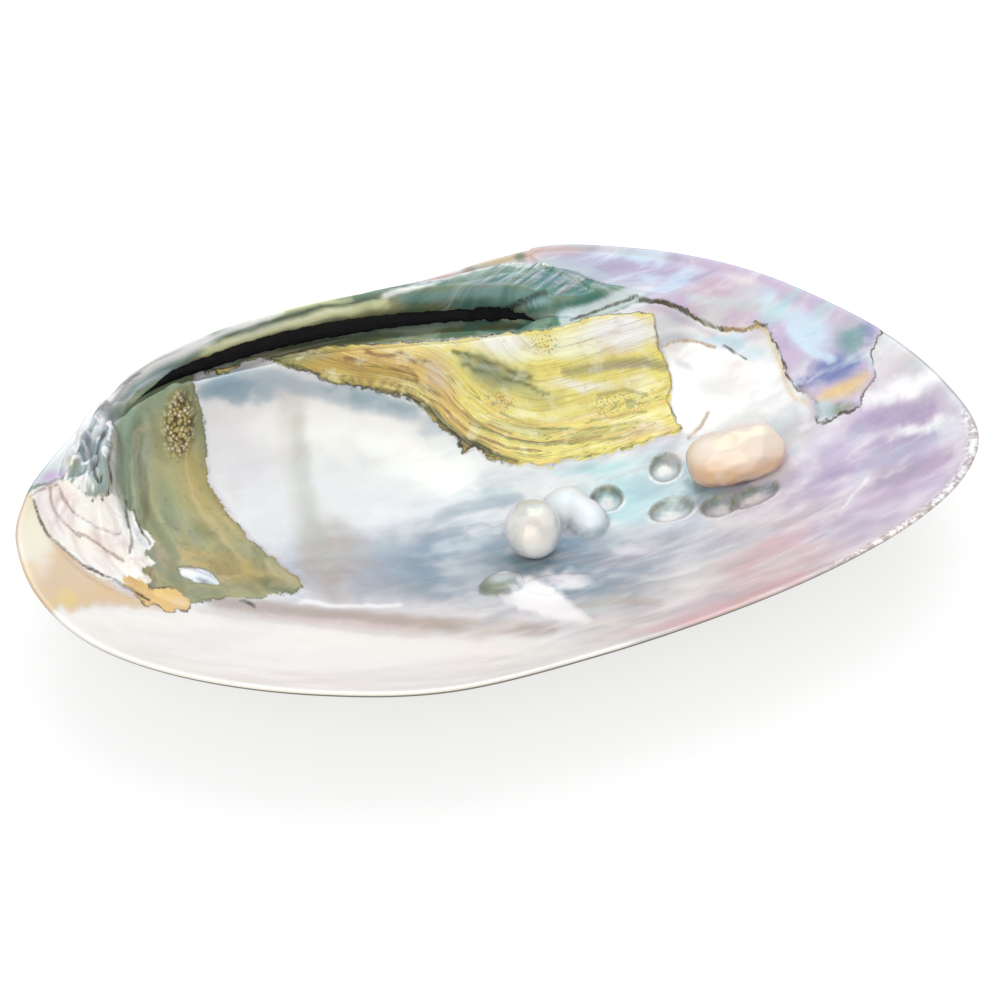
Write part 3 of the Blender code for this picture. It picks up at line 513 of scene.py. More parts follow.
# Soft washes of colour in each area: x and y in pixels of the photo, half length and half width in pixels,
# turn in degrees on the picture, colour, strength. The first entry of an area is its ground colour.
# White washes on the pearly areas are partly the nacre's own white and partly painted sheen.
WASHES = {
    "floor": (
        "milk", (330, 425, 140, 44, 6, "cream", 0.7), (240, 500, 60, 90, 30, "milk", 0.9),
        (250, 470, 40, 40, 20, "lilac", 0.1), (430, 465, 90, 34, 16, "cream", 0.7),
        (390, 570, 180, 50, 2, "slate", 0.75), (340, 550, 50, 46, 0, "taupe", 0.55),
        (322, 550, 34, 60, -14, "taupe", 0.55), (235, 388, 60, 18, 6, "steel", 0.8),
        (372, 398, 62, 11, 12, "steel", 0.75), (430, 424, 22, 10, 40, "steel", 0.4),
        (470, 556, 120, 60, 6, "slate", 1.0), (450, 576, 80, 34, 6, "steel", 0.5),
        (570, 566, 140, 60, 4, "slate", 1.0), (610, 530, 60, 30, 0, "silver", 0.5),
        (650, 560, 60, 20, -10, "mauve", 0.5), (520, 480, 60, 22, 10, "milk", 0.8),
        (490, 500, 44, 10, 8, "silver", 0.6), (640, 500, 100, 40, -8, "cyan", 0.95),
        (700, 470, 40, 20, -10, "cyan", 0.8), (600, 580, 90, 24, -8, "steel", 0.5),
        # The steel and sea ovals just below paint the shadow under the pink pearl.
        (715, 492, 50, 14, -10, "steel", 0.9), (735, 494, 30, 8, -10, "sea", 0.5),
        (700, 520, 60, 16, -14, "sky", 0.5), (560, 550, 40, 14, 0, "steel", 0.6),
        (690, 550, 90, 26, -16, "slate", 0.6), (600, 470, 60, 10, -8, "cyan", 0.5),
        (880, 450, 130, 100, -10, "mauve", 1.0), (905, 425, 80, 34, -20, "lilac", 0.7),
        (840, 480, 90, 34, -24, "lilac", 0.6), (920, 440, 70, 30, -30, "lilac", 0.4),
        (905, 388, 64, 13, -16, "white", 0.95), (922, 428, 46, 9, -16, "white", 0.85),
        (760, 385, 56, 50, 10, "white", 0.95), (800, 440, 60, 26, -10, "milk", 0.6),
        (790, 545, 120, 40, -26, "pink", 0.85), (870, 515, 60, 26, -34, "mauve", 0.6),
        (720, 600, 90, 22, -16, "pink", 0.5), (770, 500, 60, 22, -20, "lilac", 0.5),
        (840, 440, 50, 14, -16, "mauve", 0.5), (690, 325, 60, 16, 14, "white", 0.5),
        (665, 315, 40, 10, 14, "pink", 0.45), (720, 345, 40, 8, 20, "sky", 0.9),
        (745, 345, 30, 12, 24, "sky", 0.9), (940, 470, 34, 46, 20, "mauve", 0.6),
        (640, 620, 60, 16, -12, "peach", 0.35), (555, 510, 22, 26, 0, "white", 0.7),
        (585, 520, 14, 20, 0, "sky", 0.5), (512, 592, 20, 4, -6, "white", 0.8),
        (566, 578, 40, 12, 6, "milk", 0.9), (562, 572, 30, 6, 6, "white", 0.6),
        (950, 430, 24, 30, 0, "white", 0.5),
    ),
    "near_wall": (
        "cream", (300, 660, 220, 30, 6, "white", 0.6),
    ),
    "end": (
        "peach", (36, 540, 30, 60, 10, "cream", 0.75), (38, 530, 24, 50, 10, "straw", 0.3),
        (66, 600, 16, 14, 0, "yellow", 0.5), (120, 592, 40, 12, 20, "amber", 0.3),
        (30, 575, 14, 20, 0, "amber", 0.35),
    ),
    "olive": (
        "olive", (130, 450, 34, 80, 0, "lichen", 0.8), (104, 470, 22, 60, 0, "silver", 0.9),
        (132, 440, 12, 60, 0, "sage", 0.9), (150, 400, 40, 30, -20, "sage", 0.8),
        (200, 440, 30, 70, 0, "moss", 0.35), (190, 390, 30, 14, 0, "moss", 0.6),
        (136, 500, 10, 40, -12, "sage", 0.5), (180, 425, 20, 44, 0, "ochre", 0.6),
        (168, 510, 14, 50, -16, "sage", 0.5), (206, 534, 22, 14, 30, "moss", 0.6),
        (120, 520, 16, 40, -10, "white", 0.9), (235, 570, 64, 20, 20, "ochre", 0.6),
        (212, 505, 34, 80, -28, "ochre", 0.4), (275, 588, 36, 10, 20, "moss", 0.7),
        (196, 470, 12, 30, -10, "ochre", 0.6), (160, 560, 26, 20, 20, "taupe", 0.4),
        (190, 560, 30, 12, 20, "amber", 0.3), (170, 386, 36, 12, -30, "sage", 0.8),
        (118, 545, 20, 30, -20, "white", 0.9),
    ),
    "flakes": (
        "amber", (135, 580, 16, 8, 30, "ochre", 0.6), (180, 604, 14, 6, 10, "peach", 0.5),
    ),
    "lens": (
        # The white on the upper left and the slate on the lower right paint the lens's light and shade.
        "pearl", (206, 583, 14, 5, 14, "slate", 0.9), (188, 574, 14, 6, 14, "white", 0.9),
    ),
    # Painted highlight on the slope below the joined pearls.
    "slope": (
        "white", (502, 600, 20, 8, 10, "milk", 0.6),
    ),
    "scar": (
        "cream", (58, 510, 30, 40, 30, "pink", 0.45), (100, 548, 56, 22, 30, "peach", 0.35),
        (130, 540, 26, 24, 40, "white", 0.6), (124, 510, 7, 30, -12, "lichen", 0.8),
        (140, 540, 5, 22, -20, "slate", 0.5), (112, 520, 4, 26, -20, "taupe", 0.35),
        (50, 478, 22, 9, -10, "mauve", 0.8),
    ),
    "stain": (
        "yellow", (340, 366, 110, 24, 10, "ochre", 1.0), (384, 362, 50, 14, 6, "amber", 1.0),
        (372, 378, 56, 8, 8, "ochre", 0.9), (392, 372, 26, 5, 16, "rust", 0.45),
        (290, 358, 70, 12, -6, "olive", 0.85), (430, 346, 70, 9, -4, "lemon", 0.6),
        (438, 378, 20, 34, -12, "peach", 1.0), (448, 398, 16, 18, -24, "amber", 0.55),
        (530, 350, 80, 20, -4, "lemon", 1.0), (600, 340, 70, 24, -8, "lemon", 1.0),
        (618, 334, 56, 24, 0, "white", 0.95), (500, 345, 40, 12, -4, "white", 0.8),
        (625, 350, 26, 10, -6, "pink", 0.25), (580, 345, 30, 10, 0, "lemon", 0.6),
        (500, 378, 60, 20, 22, "sage", 0.8), (452, 416, 40, 20, 40, "amber", 0.9),
        (500, 404, 18, 12, 0, "amber", 0.9), (560, 404, 60, 12, 4, "olive", 0.45),
        (580, 388, 46, 10, 0, "white", 0.75), (640, 385, 26, 12, 0, "lemon", 0.7),
        (572, 404, 16, 14, 0, "yellow", 0.9), (615, 405, 38, 18, 0, "yellow", 1.0),
        (530, 432, 70, 9, 6, "olive", 0.6), (600, 436, 60, 8, -6, "olive", 0.5),
        (646, 434, 44, 8, -16, "peach", 0.9), (560, 458, 60, 8, -6, "yellow", 0.8),
        (545, 346, 16, 13, 0, "yellow", 0.9), (605, 352, 16, 9, 0, "pink", 0.25),
        (663, 395, 12, 30, 0, "ochre", 0.35), (480, 440, 50, 10, 30, "amber", 0.8),
        (560, 420, 120, 5, 2, "lemon", 0.5), (626, 334, 44, 18, -4, "white", 0.85),
        (380, 360, 50, 14, 6, "amber", 0.9), (420, 372, 16, 14, 10, "amber", 0.8),
        (352, 370, 34, 6, 14, "rust", 0.3), (280, 362, 50, 8, 4, "moss", 0.35),
    ),
    "patch": (
        "white", (684, 364, 16, 6, 30, "slate", 0.35), (715, 385, 40, 16, 10, "milk", 0.6),
        (690, 350, 30, 8, 0, "white", 0.8), (735, 370, 24, 20, 0, "pink", 0.2),
    ),
    "wing": (
        "mauve", (700, 290, 60, 18, 14, "lilac", 0.4), (770, 305, 50, 22, 24, "sky", 0.95),
        (740, 280, 30, 8, 14, "white", 0.5), (810, 335, 36, 26, 30, "sky", 0.9),
        (852, 338, 26, 30, 10, "sea", 0.85), (834, 370, 38, 22, -16, "violet", 1.0),
        (842, 393, 38, 12, -18, "peach", 1.0), (838, 412, 26, 9, -16, "sage", 0.9),
        (866, 330, 12, 30, -20, "violet", 0.5), (640, 260, 60, 10, 6, "lilac", 0.6),
        (570, 252, 40, 8, 0, "pink", 0.5), (790, 284, 40, 8, 20, "mauve", 0.5),
    ),
    "hinge": (
        "sage", (130, 450, 26, 80, 0, "lichen", 1.0), (95, 440, 34, 66, 10, "silver", 1.0),
        (70, 462, 14, 13, 30, "olive", 0.8), (48, 478, 22, 9, -10, "mauve", 0.8),
        # The bark oval just below paints shade in the pit of the front teeth.
        (97, 470, 8, 16, 0, "bark", 0.9), (88, 440, 6, 24, 20, "slate", 0.8),
        (110, 440, 7, 40, 4, "slate", 0.6), (84, 420, 8, 14, 30, "white", 0.6),
        (118, 470, 6, 40, 6, "lichen", 0.7), (150, 382, 50, 14, -34, "silver", 0.9),
        (120, 400, 22, 14, -40, "white", 0.6), (100, 480, 20, 22, 0, "silver", 0.9),
        (250, 345, 60, 10, -22, "olive", 0.5), (430, 296, 90, 12, -10, "sage", 0.6),
        (400, 310, 90, 8, -8, "moss", 0.7), (520, 298, 50, 14, -10, "sea", 0.6),
        (490, 284, 50, 10, -10, "slate", 0.6), (556, 276, 44, 14, -6, "slate", 1.0),
        (600, 290, 46, 16, -16, "sea", 0.5), (575, 286, 30, 8, -20, "mauve", 0.4),
        (620, 300, 40, 8, -16, "cyan", 0.7), (538, 302, 16, 8, 0, "cyan", 0.8),
        (470, 304, 34, 8, -6, "teal", 0.9),
    ),
    "behind": (
        "silver", (800, 300, 260, 200, 10, "mauve", 1.0), (140, 385, 150, 60, -34, "white", 1.0),
        (60, 450, 34, 34, 0, "white", 0.4), (54, 478, 24, 9, -10, "mauve", 1.0),
        (74, 462, 12, 10, 30, "olive", 0.7), (150, 372, 70, 6, -34, "sea", 0.25),
        (290, 316, 90, 12, -14, "straw", 0.8), (330, 302, 70, 7, -12, "taupe", 0.6),
        (240, 330, 50, 10, -20, "lichen", 0.6), (430, 276, 60, 14, -12, "pink", 0.9),
        (400, 286, 30, 10, -12, "peach", 0.9), (452, 270, 16, 10, -10, "white", 0.8),
        (500, 258, 44, 14, -10, "peach", 1.0), (530, 254, 34, 12, 0, "blush", 0.6),
        (440, 276, 24, 8, -12, "blush", 0.5), (468, 272, 9, 8, 0, "taupe", 0.9),
        (417, 284, 7, 6, 0, "taupe", 0.9), (520, 257, 10, 8, 0, "sage", 0.9),
        (560, 252, 46, 8, 0, "pink", 0.9), (600, 250, 30, 5, 0, "taupe", 0.5),
        (590, 262, 60, 12, 4, "lilac", 0.5), (660, 276, 50, 12, 10, "lilac", 0.6),
        (640, 292, 30, 6, 0, "white", 0.6),
    ),
}

# Streaks of shimmer: area, colour, size in millimetres, turn in degrees, where they start and end in the
# noise, strength, and the pixels between which they come in from the left
FLOWS = (
    ("floor", "mauve", 12.0, 12, -0.10, 0.60, 0.30, 480, 700),
    ("floor", "cyan", 9.0, 20, 0.00, 0.60, 0.25, 430, 560),
    ("floor", "pink", 9.0, 16, 0.00, 0.60, 0.30, 620, 760),
    ("floor", "white", 8.0, 8, 0.00, 0.60, 0.40, 300, 460),
    ("floor", "slate", 6.0, 10, 0.00, 0.60, 0.32, 400, 500),
    ("wing", "white", 6.0, 14, 0.00, 0.50, 0.55, 0, 10),
    ("wing", "lilac", 6.0, 14, 0.05, 0.50, 0.55, 0, 10),
    ("wing", "cyan", 5.0, 24, 0.05, 0.50, 0.55, 660, 720),
    ("wing", "pink", 7.0, 8, 0.05, 0.50, 0.40, 0, 10),
    ("behind", "lilac", 6.0, 4, 0.00, 0.50, 0.60, 540, 600),
    ("behind", "sky", 6.0, 14, 0.05, 0.50, 0.50, 560, 640),
    ("near_wall", "milk", 14.0, 8, 0.05, 0.50, 0.25, 0, 10),
    ("scar", "pink", 2.6, -50, 0.00, 0.50, 0.35, 0, 10),
    ("end", "amber", 5.0, 30, 0.10, 0.60, 0.30, 0, 10),
    ("hinge", "teal", 3.0, 14, 0.05, 0.50, 0.60, 330, 420),
    ("hinge", "lichen", 4.0, 20, 0.05, 0.45, 0.40, 300, 420),
    ("olive", "moss", 4.0, -70, 0.05, 0.50, 0.30, 0, 10),
    ("patch", "milk", 6.0, 20, 0.10, 0.50, 0.40, 0, 10),
    ("patch", "pink", 6.0, 20, 0.10, 0.60, 0.25, 0, 10),
)
FLOW_STRETCH = (0.45, 1.0)

# How far the washes wander, in pixels of the photo: some areas, all other areas, and the noise's grain
WASH_WANDER = {"floor": 11.0, "near_wall": 8.0, "stain": 7.0}
WASH_SETTLED = 2.5
WASH_GRAIN = 26.0


# Noise in the valve's finish: size of its features in metres, detail, roughness and twist
NOISES = {
    "ragged": (0.0040, 4.0, 0.65),
    "fine": (0.0010, 3.0, 0.6),
    "brushed": (0.0042, 4.0, 0.62, 0.4),
    "sand": (0.0013, 3.0, 0.7),
    "patchy": (0.0035, 3.0, 0.65),
    "fan": (0.0016, 3.0, 0.6),
    "relief": (0.0016, 1.0, 0.6),
}
RAGGED_STRENGTH = 1.6
FINE_STRENGTH = 0.7
BRUSHED_STRETCH = (0.22, 1.0, 1.0)
BRUSHED_TURN = -14.0
FAN_GRAIN = (0.10, 1.3, 1.0)
CELLS = 1150.0

# Streaks along the lines of equal depth in an area: fineness, change along them, and twist
STREAKS = {"growth": (0.55, 30.0, 0.5), "olive": (0.35, 90.0), "behind": (0.9, 30.0), "age": (34.0, 3.0)}

# Thin lines: the middle value that they follow, and how far from it they start and end to fade
LINES = {
    "socket": (0.98, 0.02, 0.16),
    "blister": (1.05, 0.02, 0.18),
    "contour": (0.47, 0.0, 0.018),
    "second contour": (0.57, 0.0, 0.012),
    "fan": (0.55, 0.004, 0.018),
    "age": (0.5, 0.0, 0.03),
}

# Patterns over the soft colours, in the order that they are laid on: area, the field that limits the pattern,
# the pattern, where it starts and is full, strength, what the stained layer's foot adds to it, and colour
PATTERNS = (
    ("stain", "", "growth", (0.52, 0.64), 0.08, 0.18, "lemon"),
    ("stain", "", "growth", (0.47, 0.36), 0.12, 0.45, "amber"),
    ("stain", "", "contour", None, 0.75, 0.0, "moss"),
    ("stain", "", "second contour", None, 0.70, 0.0, "rust"),
    ("stain", "", "patchy", (0.54, 0.66), 0.30, 0.0, "lemon"),
    ("stain", "", "patchy", (0.46, 0.36), 0.22, 0.0, "ochre"),
    ("stain", "specks", "bubbles", (0.42, 0.20), 0.85, 0.0, "ochre"),
    ("stain", "specks", "bubbles", (0.55, 0.80), 0.70, 0.0, "olive"),
    ("stain", "", "speckle", None, 0.25, 0.0, "rust"),
    ("olive", "", "olive", (0.50, 0.68), 0.50, 0.0, "sage"),
    ("olive", "", "olive", (0.46, 0.34), 0.22, 0.0, "peach"),
    ("olive", "", "sand", (0.52, 0.75), 0.40, 0.0, "moss"),
    # On the crust the lumps' tops get a painted highlight in white and the gaps between them painted shade in
    # bark.
    ("olive", "crust", "bubbles", (0.38, 0.12), 0.80, 0.0, "white"),
    ("olive", "crust", "bubbles", (0.48, 0.72), 0.90, 0.0, "bark"),
    ("hinge", "", "behind", (0.52, 0.62), 0.32, 0.0, "teal"),
    ("hinge", "", "behind", (0.46, 0.36), 0.30, 0.0, "silver"),
    # On the crumpled teeth the folds' valleys get painted shade in steel and moss, and their crests a painted
    # highlight in white.
    ("hinge", "", "folds", (-0.02, -0.35), 0.85, 0.0, "steel"),
    ("hinge", "", "folds", (-0.30, -0.60), 0.90, 0.0, "moss"),
    ("hinge", "", "folds", (0.28, 0.55), 0.90, 0.0, "white"),
    ("hinge", "fan", "fan", (0.52, 0.66), 0.55, 0.0, "silver"),
    ("hinge", "fan", "fan", (0.48, 0.40), 0.80, 0.0, "teal"),
    ("hinge", "", "fan line", None, 0.60, 0.0, "moss"),
    ("scar", "", "sand", (0.52, 0.70), 0.40, 0.0, "white"),
)
SPECKLE = (0.62, 0.70)
FOOT = (7.0, 12.0)

# Brushed light and shade of the pearly areas: where they start and are full, their strength, and the shadows
GLEAM = (0.50, 0.72, 0.38)
SHADE = (0.50, 0.28, 0.45)
FLOOR_SHADOW = (0.70, 0.74, 0.80)
WING_SHADOW = (0.66, 0.70, 0.82)
BACK_SHADOW = (0.70, 0.72, 0.80)

# Where marks start and end: on the pearls and hollows in shares of their sizes, at the margin in shares of
# the way out, on the beak in shares of the valve's age, and else in millimetres or values of the noise
BLISTER_TOP = (0.80, 1.02)
SOCKET_FLOOR = (0.25, 0.50)
SOCKET_WANDER = (1.1, 0.25)
BROKEN_EDGE = (0.05, 0.30)
BEHIND_EDGE = (-0.15, 0.15)
CHALK = (0.970, 0.988)
RIM_LINE = (0.993, 0.999)
POWDER = (0.42, 0.58)
HALO = (0.15, 0.60)
SKIN_BANDS = (0.38, 0.62)
WORN_BEAK = (0.10, 0.22)

# Lines along the creases: kind, how far they wander, where they start and end to fade, strength and colour
# Along the dark kind the line is partly the crease's own dark line and partly painted shade in it.
CREASE_LINES = (("rust", 0.2, 0.10, 0.46, 0.60, "rust"), ("dark", 0.4, 0.08, 0.45, 0.90, "bark"))

# Depth of the finish's relief in metres
RELIEF_BUMP = 0.00006
STREAK_BUMP = 0.0010
CRUST_BUMP = 0.0009

# The stage: the floor's size in metres, its grey and glow, the sky, and each light's place, size and power
FLOOR_SIZE = 1.5
FLOOR_GREY = 0.35
FLOOR_GLOW = 0.70
SKY_STRENGTH = 0.62
LIGHTS = (("key", (0.1, 0.5, 1.0), 1.0, 6.0), ("fill", (-0.35, -0.9, 0.75), 1.0, 6.5))


def smooth_curve(points, closed, per_span=12):
    """Points along a Catmull-Rom curve through the given ones."""
    knots = np.array(points, float)
    if closed:
        knots = np.vstack([knots[-1], knots, knots[:2]])
    else:
        knots = np.vstack([2 * knots[0] - knots[1], knots, 2 * knots[-1] - knots[-2]])
    t = np.linspace(0, 1, per_span, endpoint=False)[:, None]
    spans = []
    for a, b, c, d in zip(knots, knots[1:], knots[2:], knots[3:]):
        spans.append(0.5 * (2 * b + (c - a) * t + (2 * a - 5 * b + 4 * c - d) * t**2
                            + (3 * b - a - 3 * c + d) * t**3))
    if not closed:
        spans.append(knots[-2:-1])
    return np.vstack(spans)


MARGIN_CURVE = smooth_curve(MARGIN, closed=True, per_span=24)
HINGE_CURVE = smooth_curve(HINGE, closed=False)
MIDDLE = (MARGIN_CURVE.min(axis=0) + MARGIN_CURVE.max(axis=0)) / 2


def reach(angle, centre):
    """Distance from the centre to the margin in each direction."""
    loop = MARGIN_CURVE - centre
    angles = np.arctan2(loop[:, 1], loop[:, 0])
    order = np.argsort(angles)
    return np.interp(angle, angles[order], np.hypot(*loop[order].T), period=2 * math.pi)


def margin_point(centre, angle):
    """The margin's point in each direction from the centre."""
    return np.array(centre) + reach(angle, centre)[:, None] * np.column_stack([np.cos(angle), np.sin(angle)])


def share_of_reach(at, centre):
    """0 at the centre and 1 at the margin."""
    offset = at - centre
    return np.hypot(*offset.T) / reach(np.arctan2(offset[:, 1], offset[:, 0]), centre)


def ramp(value, low, high):
    """Rises smoothly from 0 at low to 1 at high."""
    t = np.clip((value - low) / (high - low), 0, 1)
    return t * t * (3 - 2 * t)


def band(value, start, full, last, end):
    """Rises from 0 to 1 over one stretch and falls back to 0 over another."""
    return ramp(value, start, full) * ramp(-value, -end, -last)


def between(x, ends):
    """Fades in over the first stretch of X and out over the last."""
    return band(x, *ends[0], *ends[1])


def nearest_on(at, line):
    """Each point's distance to a line of points, which span is nearest, and how far along that span."""
    starts, spans = line[:-1], np.diff(line, axis=0)
    squares = np.maximum((spans**2).sum(axis=1), 1e-9)
    distance, nearest, part = np.empty(len(at)), np.empty(len(at), int), np.empty(len(at))
    for rows in np.array_split(np.arange(len(at)), len(at) // 3000 + 1):
        gap = at[rows, None, :] - starts
        along = np.clip((gap * spans).sum(axis=2) / squares, 0, 1)
        square = ((gap - along[..., None] * spans) ** 2).sum(axis=2)
        best = square.argmin(axis=1)
        picked = np.arange(len(rows)), best
        distance[rows], nearest[rows], part[rows] = np.sqrt(square[picked]), best, along[picked]
    return distance, nearest, part


def beside_hinge(at):
    """How far each point lies on the hinge side of the hinge line, and the X of the nearest point of it."""
    distance, nearest, part = nearest_on(at, HINGE_CURVE)
    span = np.diff(HINGE_CURVE, axis=0)[nearest]
    on_line = HINGE_CURVE[nearest] + part[:, None] * span
    offset = at - on_line
    side = np.sign(span[:, 0] * offset[:, 1] - span[:, 1] * offset[:, 0])
    return side * distance, on_line[:, 0]


def in_oval(at, oval):
    """Distance from an oval's middle in units of its half sizes."""
    x, y, half_length, half_width, turn = oval[:5]
    c, s = math.cos(math.radians(turn)), math.sin(math.radians(turn))
    dx, dy = at[:, 0] - x, at[:, 1] - y
    return np.hypot((c * dx + s * dy) / half_length, (c * dy - s * dx) / half_width)


def within(at, oval, outer=1.0, inner=0.25):
    """1 in the middle of an oval, fading to 0 between two shares of its half sizes."""
    return ramp(-in_oval(at, oval), -outer, -inner)


def nearest_oval(at, ovals):
    """Distance from the nearest oval's middle in units of its half sizes."""
    return np.min([in_oval(at, oval) for oval in ovals], axis=0)


def dome(at, form):
    """Height of a rounded lump, or depth of a hollow."""
    return form[5] * np.sqrt(np.clip(1 - in_oval(at, form) ** 2, 0, 1))


def depth_inside(at, outline):
    """Distance in millimetres on the photo to a closed outline in pixels, positive inside it."""
    loop = smooth_curve(outline, closed=True, per_span=6)
    loop = np.vstack([loop, loop[:1]])
    room = FIELD_REACH * PHOTO_SCALE
    near = ((at > loop.min(axis=0) - room) & (at < loop.max(axis=0) + room)).all(axis=1)
    depth = np.full(len(at), -FIELD_REACH)
    spot = at[near]
    distance = nearest_on(spot, loop)[0] / PHOTO_SCALE
    crossings = np.zeros(len(spot), int)
    for (x0, y0), (x1, y1) in zip(loop[:-1], loop[1:]):
        if y0 != y1:
            level = (y0 > spot[:, 1]) != (y1 > spot[:, 1])
            crossings += level & (spot[:, 0] < x0 + (spot[:, 1] - y0) * (x1 - x0) / (y1 - y0))
    depth[near] = np.clip(np.where(crossings % 2 == 1, distance, -distance), -FIELD_REACH, FIELD_DEPTH)
    return depth


def beside_line(at, line):
    """Distance in millimetres on the photo to a line in pixels, up to the reach of a field."""
    line = smooth_curve(line, closed=False, per_span=5)
    room = FIELD_REACH * PHOTO_SCALE
    near = ((at > line.min(axis=0) - room) & (at < line.max(axis=0) + room)).all(axis=1)
    distance = np.full(len(at), FIELD_REACH)
    distance[near] = nearest_on(at[near], line)[0] / PHOTO_SCALE
    return np.minimum(distance, FIELD_REACH)


def grain(at, size, octaves=3, seed=0.0):
    """Smooth noise between about -1 and 1, with features of the given size."""
    return np.array([noise.fractal((x, y, seed), 1.0, 2.0, octaves) for x, y in at / size])


def turned(at, degrees):
    """The points with their axes turned, for patterns that run aslant."""
    c, s = math.cos(math.radians(degrees)), math.sin(math.radians(degrees))
    return at @ np.array([[c, -s], [s, c]])


def camera_axes():
    """The photo camera's right, up and back directions."""
    a, e = math.radians(VIEW_TURN), math.radians(VIEW_HEIGHT)
    back = np.array([math.sin(a) * math.cos(e), -math.cos(a) * math.cos(e), math.sin(e)])
    right = np.array([math.cos(a), math.sin(a), 0.0])
    return right, np.cross(back, right), back


def in_photo(at, height):
    """Where points of the valve come to lie in the photo, in pixels."""
    right, up, back = camera_axes()
    offset = np.column_stack([at, height]) - VIEW_TARGET - back * VIEW_DISTANCE
    scale = PHOTO_SCALE * VIEW_DISTANCE / -(offset @ back)
    x, y = PHOTO_MIDDLE
    return np.column_stack([x + scale * (offset @ right), y - scale * (offset @ up)])


class Valve:
    """Heights of the valve's two sides, in millimetres."""

    def __init__(self, sizes):
        self.rim = sizes.rim_height / MM
        self.belly = sizes.belly_wall / MM
        self.edge = sizes.edge_wall / MM

    def half_edge(self, at):
        """Half the wall's height at the margin, rounded off over the last stretch."""
        room = (1 - share_of_reach(at, CUP_CENTRE)) * LIP_REACH
        t = np.clip(room / LIP_ROUNDING, 0, 1)
        return self.edge / 2 * np.sqrt(1 - (1 - t) ** 2)

    def outside(self, at):
        """The rounded outside, with its beak, a step at each growth line and the belly rubbed flat."""
        bulge = share_of_reach(at, CUP_CENTRE) ** CUP_FULLNESS
        height = -BELLY_RUB + (self.rim + BELLY_RUB) * bulge - self.half_edge(at) * bulge
        height = height - BEAK_BULGE * np.exp(-in_oval(at, (*BEAK, *BEAK_HALF_SIZES, BEAK_TURN)) ** 2)
        age = share_of_reach(at, BEAK)
        for rest in GROWTH_RESTS:
            step = ramp(age, rest - REST_WIDTH, rest) * ramp(-age, -rest - REST_FADE, -rest)
            height = height + REST_STEP * step
        return np.maximum(height, 0.0)

    def cup(self, at):
        """The smooth inside, before any hinge."""
        bulge = share_of_reach(at, CUP_CENTRE) ** CUP_FULLNESS
        return self.belly + (self.rim - self.belly) * bulge + self.half_edge(at) * bulge

    def with_hinge(self, at, height, beside, x):
        """The hinge plate, its groove and lip, and the long tooth that fans out at its tail end."""
        plate = ramp(beside, -PLATE_SLOPE_WIDTH, -0.5) * between(at[:, 0], PLATE_ENDS)
        height = height + (np.maximum(PLATE_HEIGHT, height) - height) * plate
        half = np.interp(x, *GROOVE_HALF_WIDTH)
        in_groove = ramp(half - np.abs(beside), *GROOVE_WALL) * between(x, GROOVE_ENDS)
        height = height - GROOVE_DEPTH * in_groove
        lip = np.exp(-(((beside + half + LIP_GAP) / LIP_WIDTH) ** 2)) * between(x, LIP_ENDS)
        height = height + LIP_HEIGHT * lip
        width = np.interp(x, *BLADE_WIDTH)
        front = ramp(beside, half - 0.2, half + BLADE_FRONT + TIP_FRONT * ramp(x, *TIP_START))
        back = ramp(half + width - beside, 0.0, BLADE_BACK)
        return height + np.interp(x, *BLADE_HEIGHT) * front * back * ramp(at[:, 0], *BLADE_START)


def under_pearl(at, pearl):
    """The underside of a pearl less a gap, for the socket that it sits in."""
    (x, y, z), half_sizes, turn, lift = pearl
    long, wide, high = (size + SOCKET_REST for size in half_sizes)
    c, s = math.cos(math.radians(turn)), math.sin(math.radians(turn))
    along = c * (at[:, 0] - x) + s * (at[:, 1] - y)
    across = c * (at[:, 1] - y) - s * (at[:, 0] - x)
    c, s = math.cos(math.radians(lift)), math.sin(math.radians(lift))
    square = (s / long) ** 2 + (c / high) ** 2
    linear = along * s * c * (1 / long**2 - 1 / high**2)
    rest = along**2 * ((c / long) ** 2 + (s / high) ** 2) + (across / wide) ** 2 - 1
    inside = linear**2 - square * rest
    bottom = z - (linear + np.sqrt(np.maximum(inside, 0))) / square
    return np.where(inside > 0, bottom, np.inf)


def evened(shares, places, fineness):
    """Moves evenly spaced shares along a row of places so that they crowd where the fineness is high."""
    total = np.concatenate([[0.0], np.cumsum((fineness[1:] + fineness[:-1]) / 2 * np.diff(places))])
    return np.interp(shares, total / total[-1], places)


def spread_turns():
    """The direction of each segment from the cup's centre, counted from the near side."""
    degrees = np.linspace(-90, 270, 1441)
    fineness = np.ones_like(degrees)
    for middle, width, strength in TURN_CROWDING:
        fineness = fineness + strength * np.exp(-(((degrees - middle) / width) ** 2))
    return np.radians(evened(np.arange(SEGMENTS) / SEGMENTS, degrees, fineness))


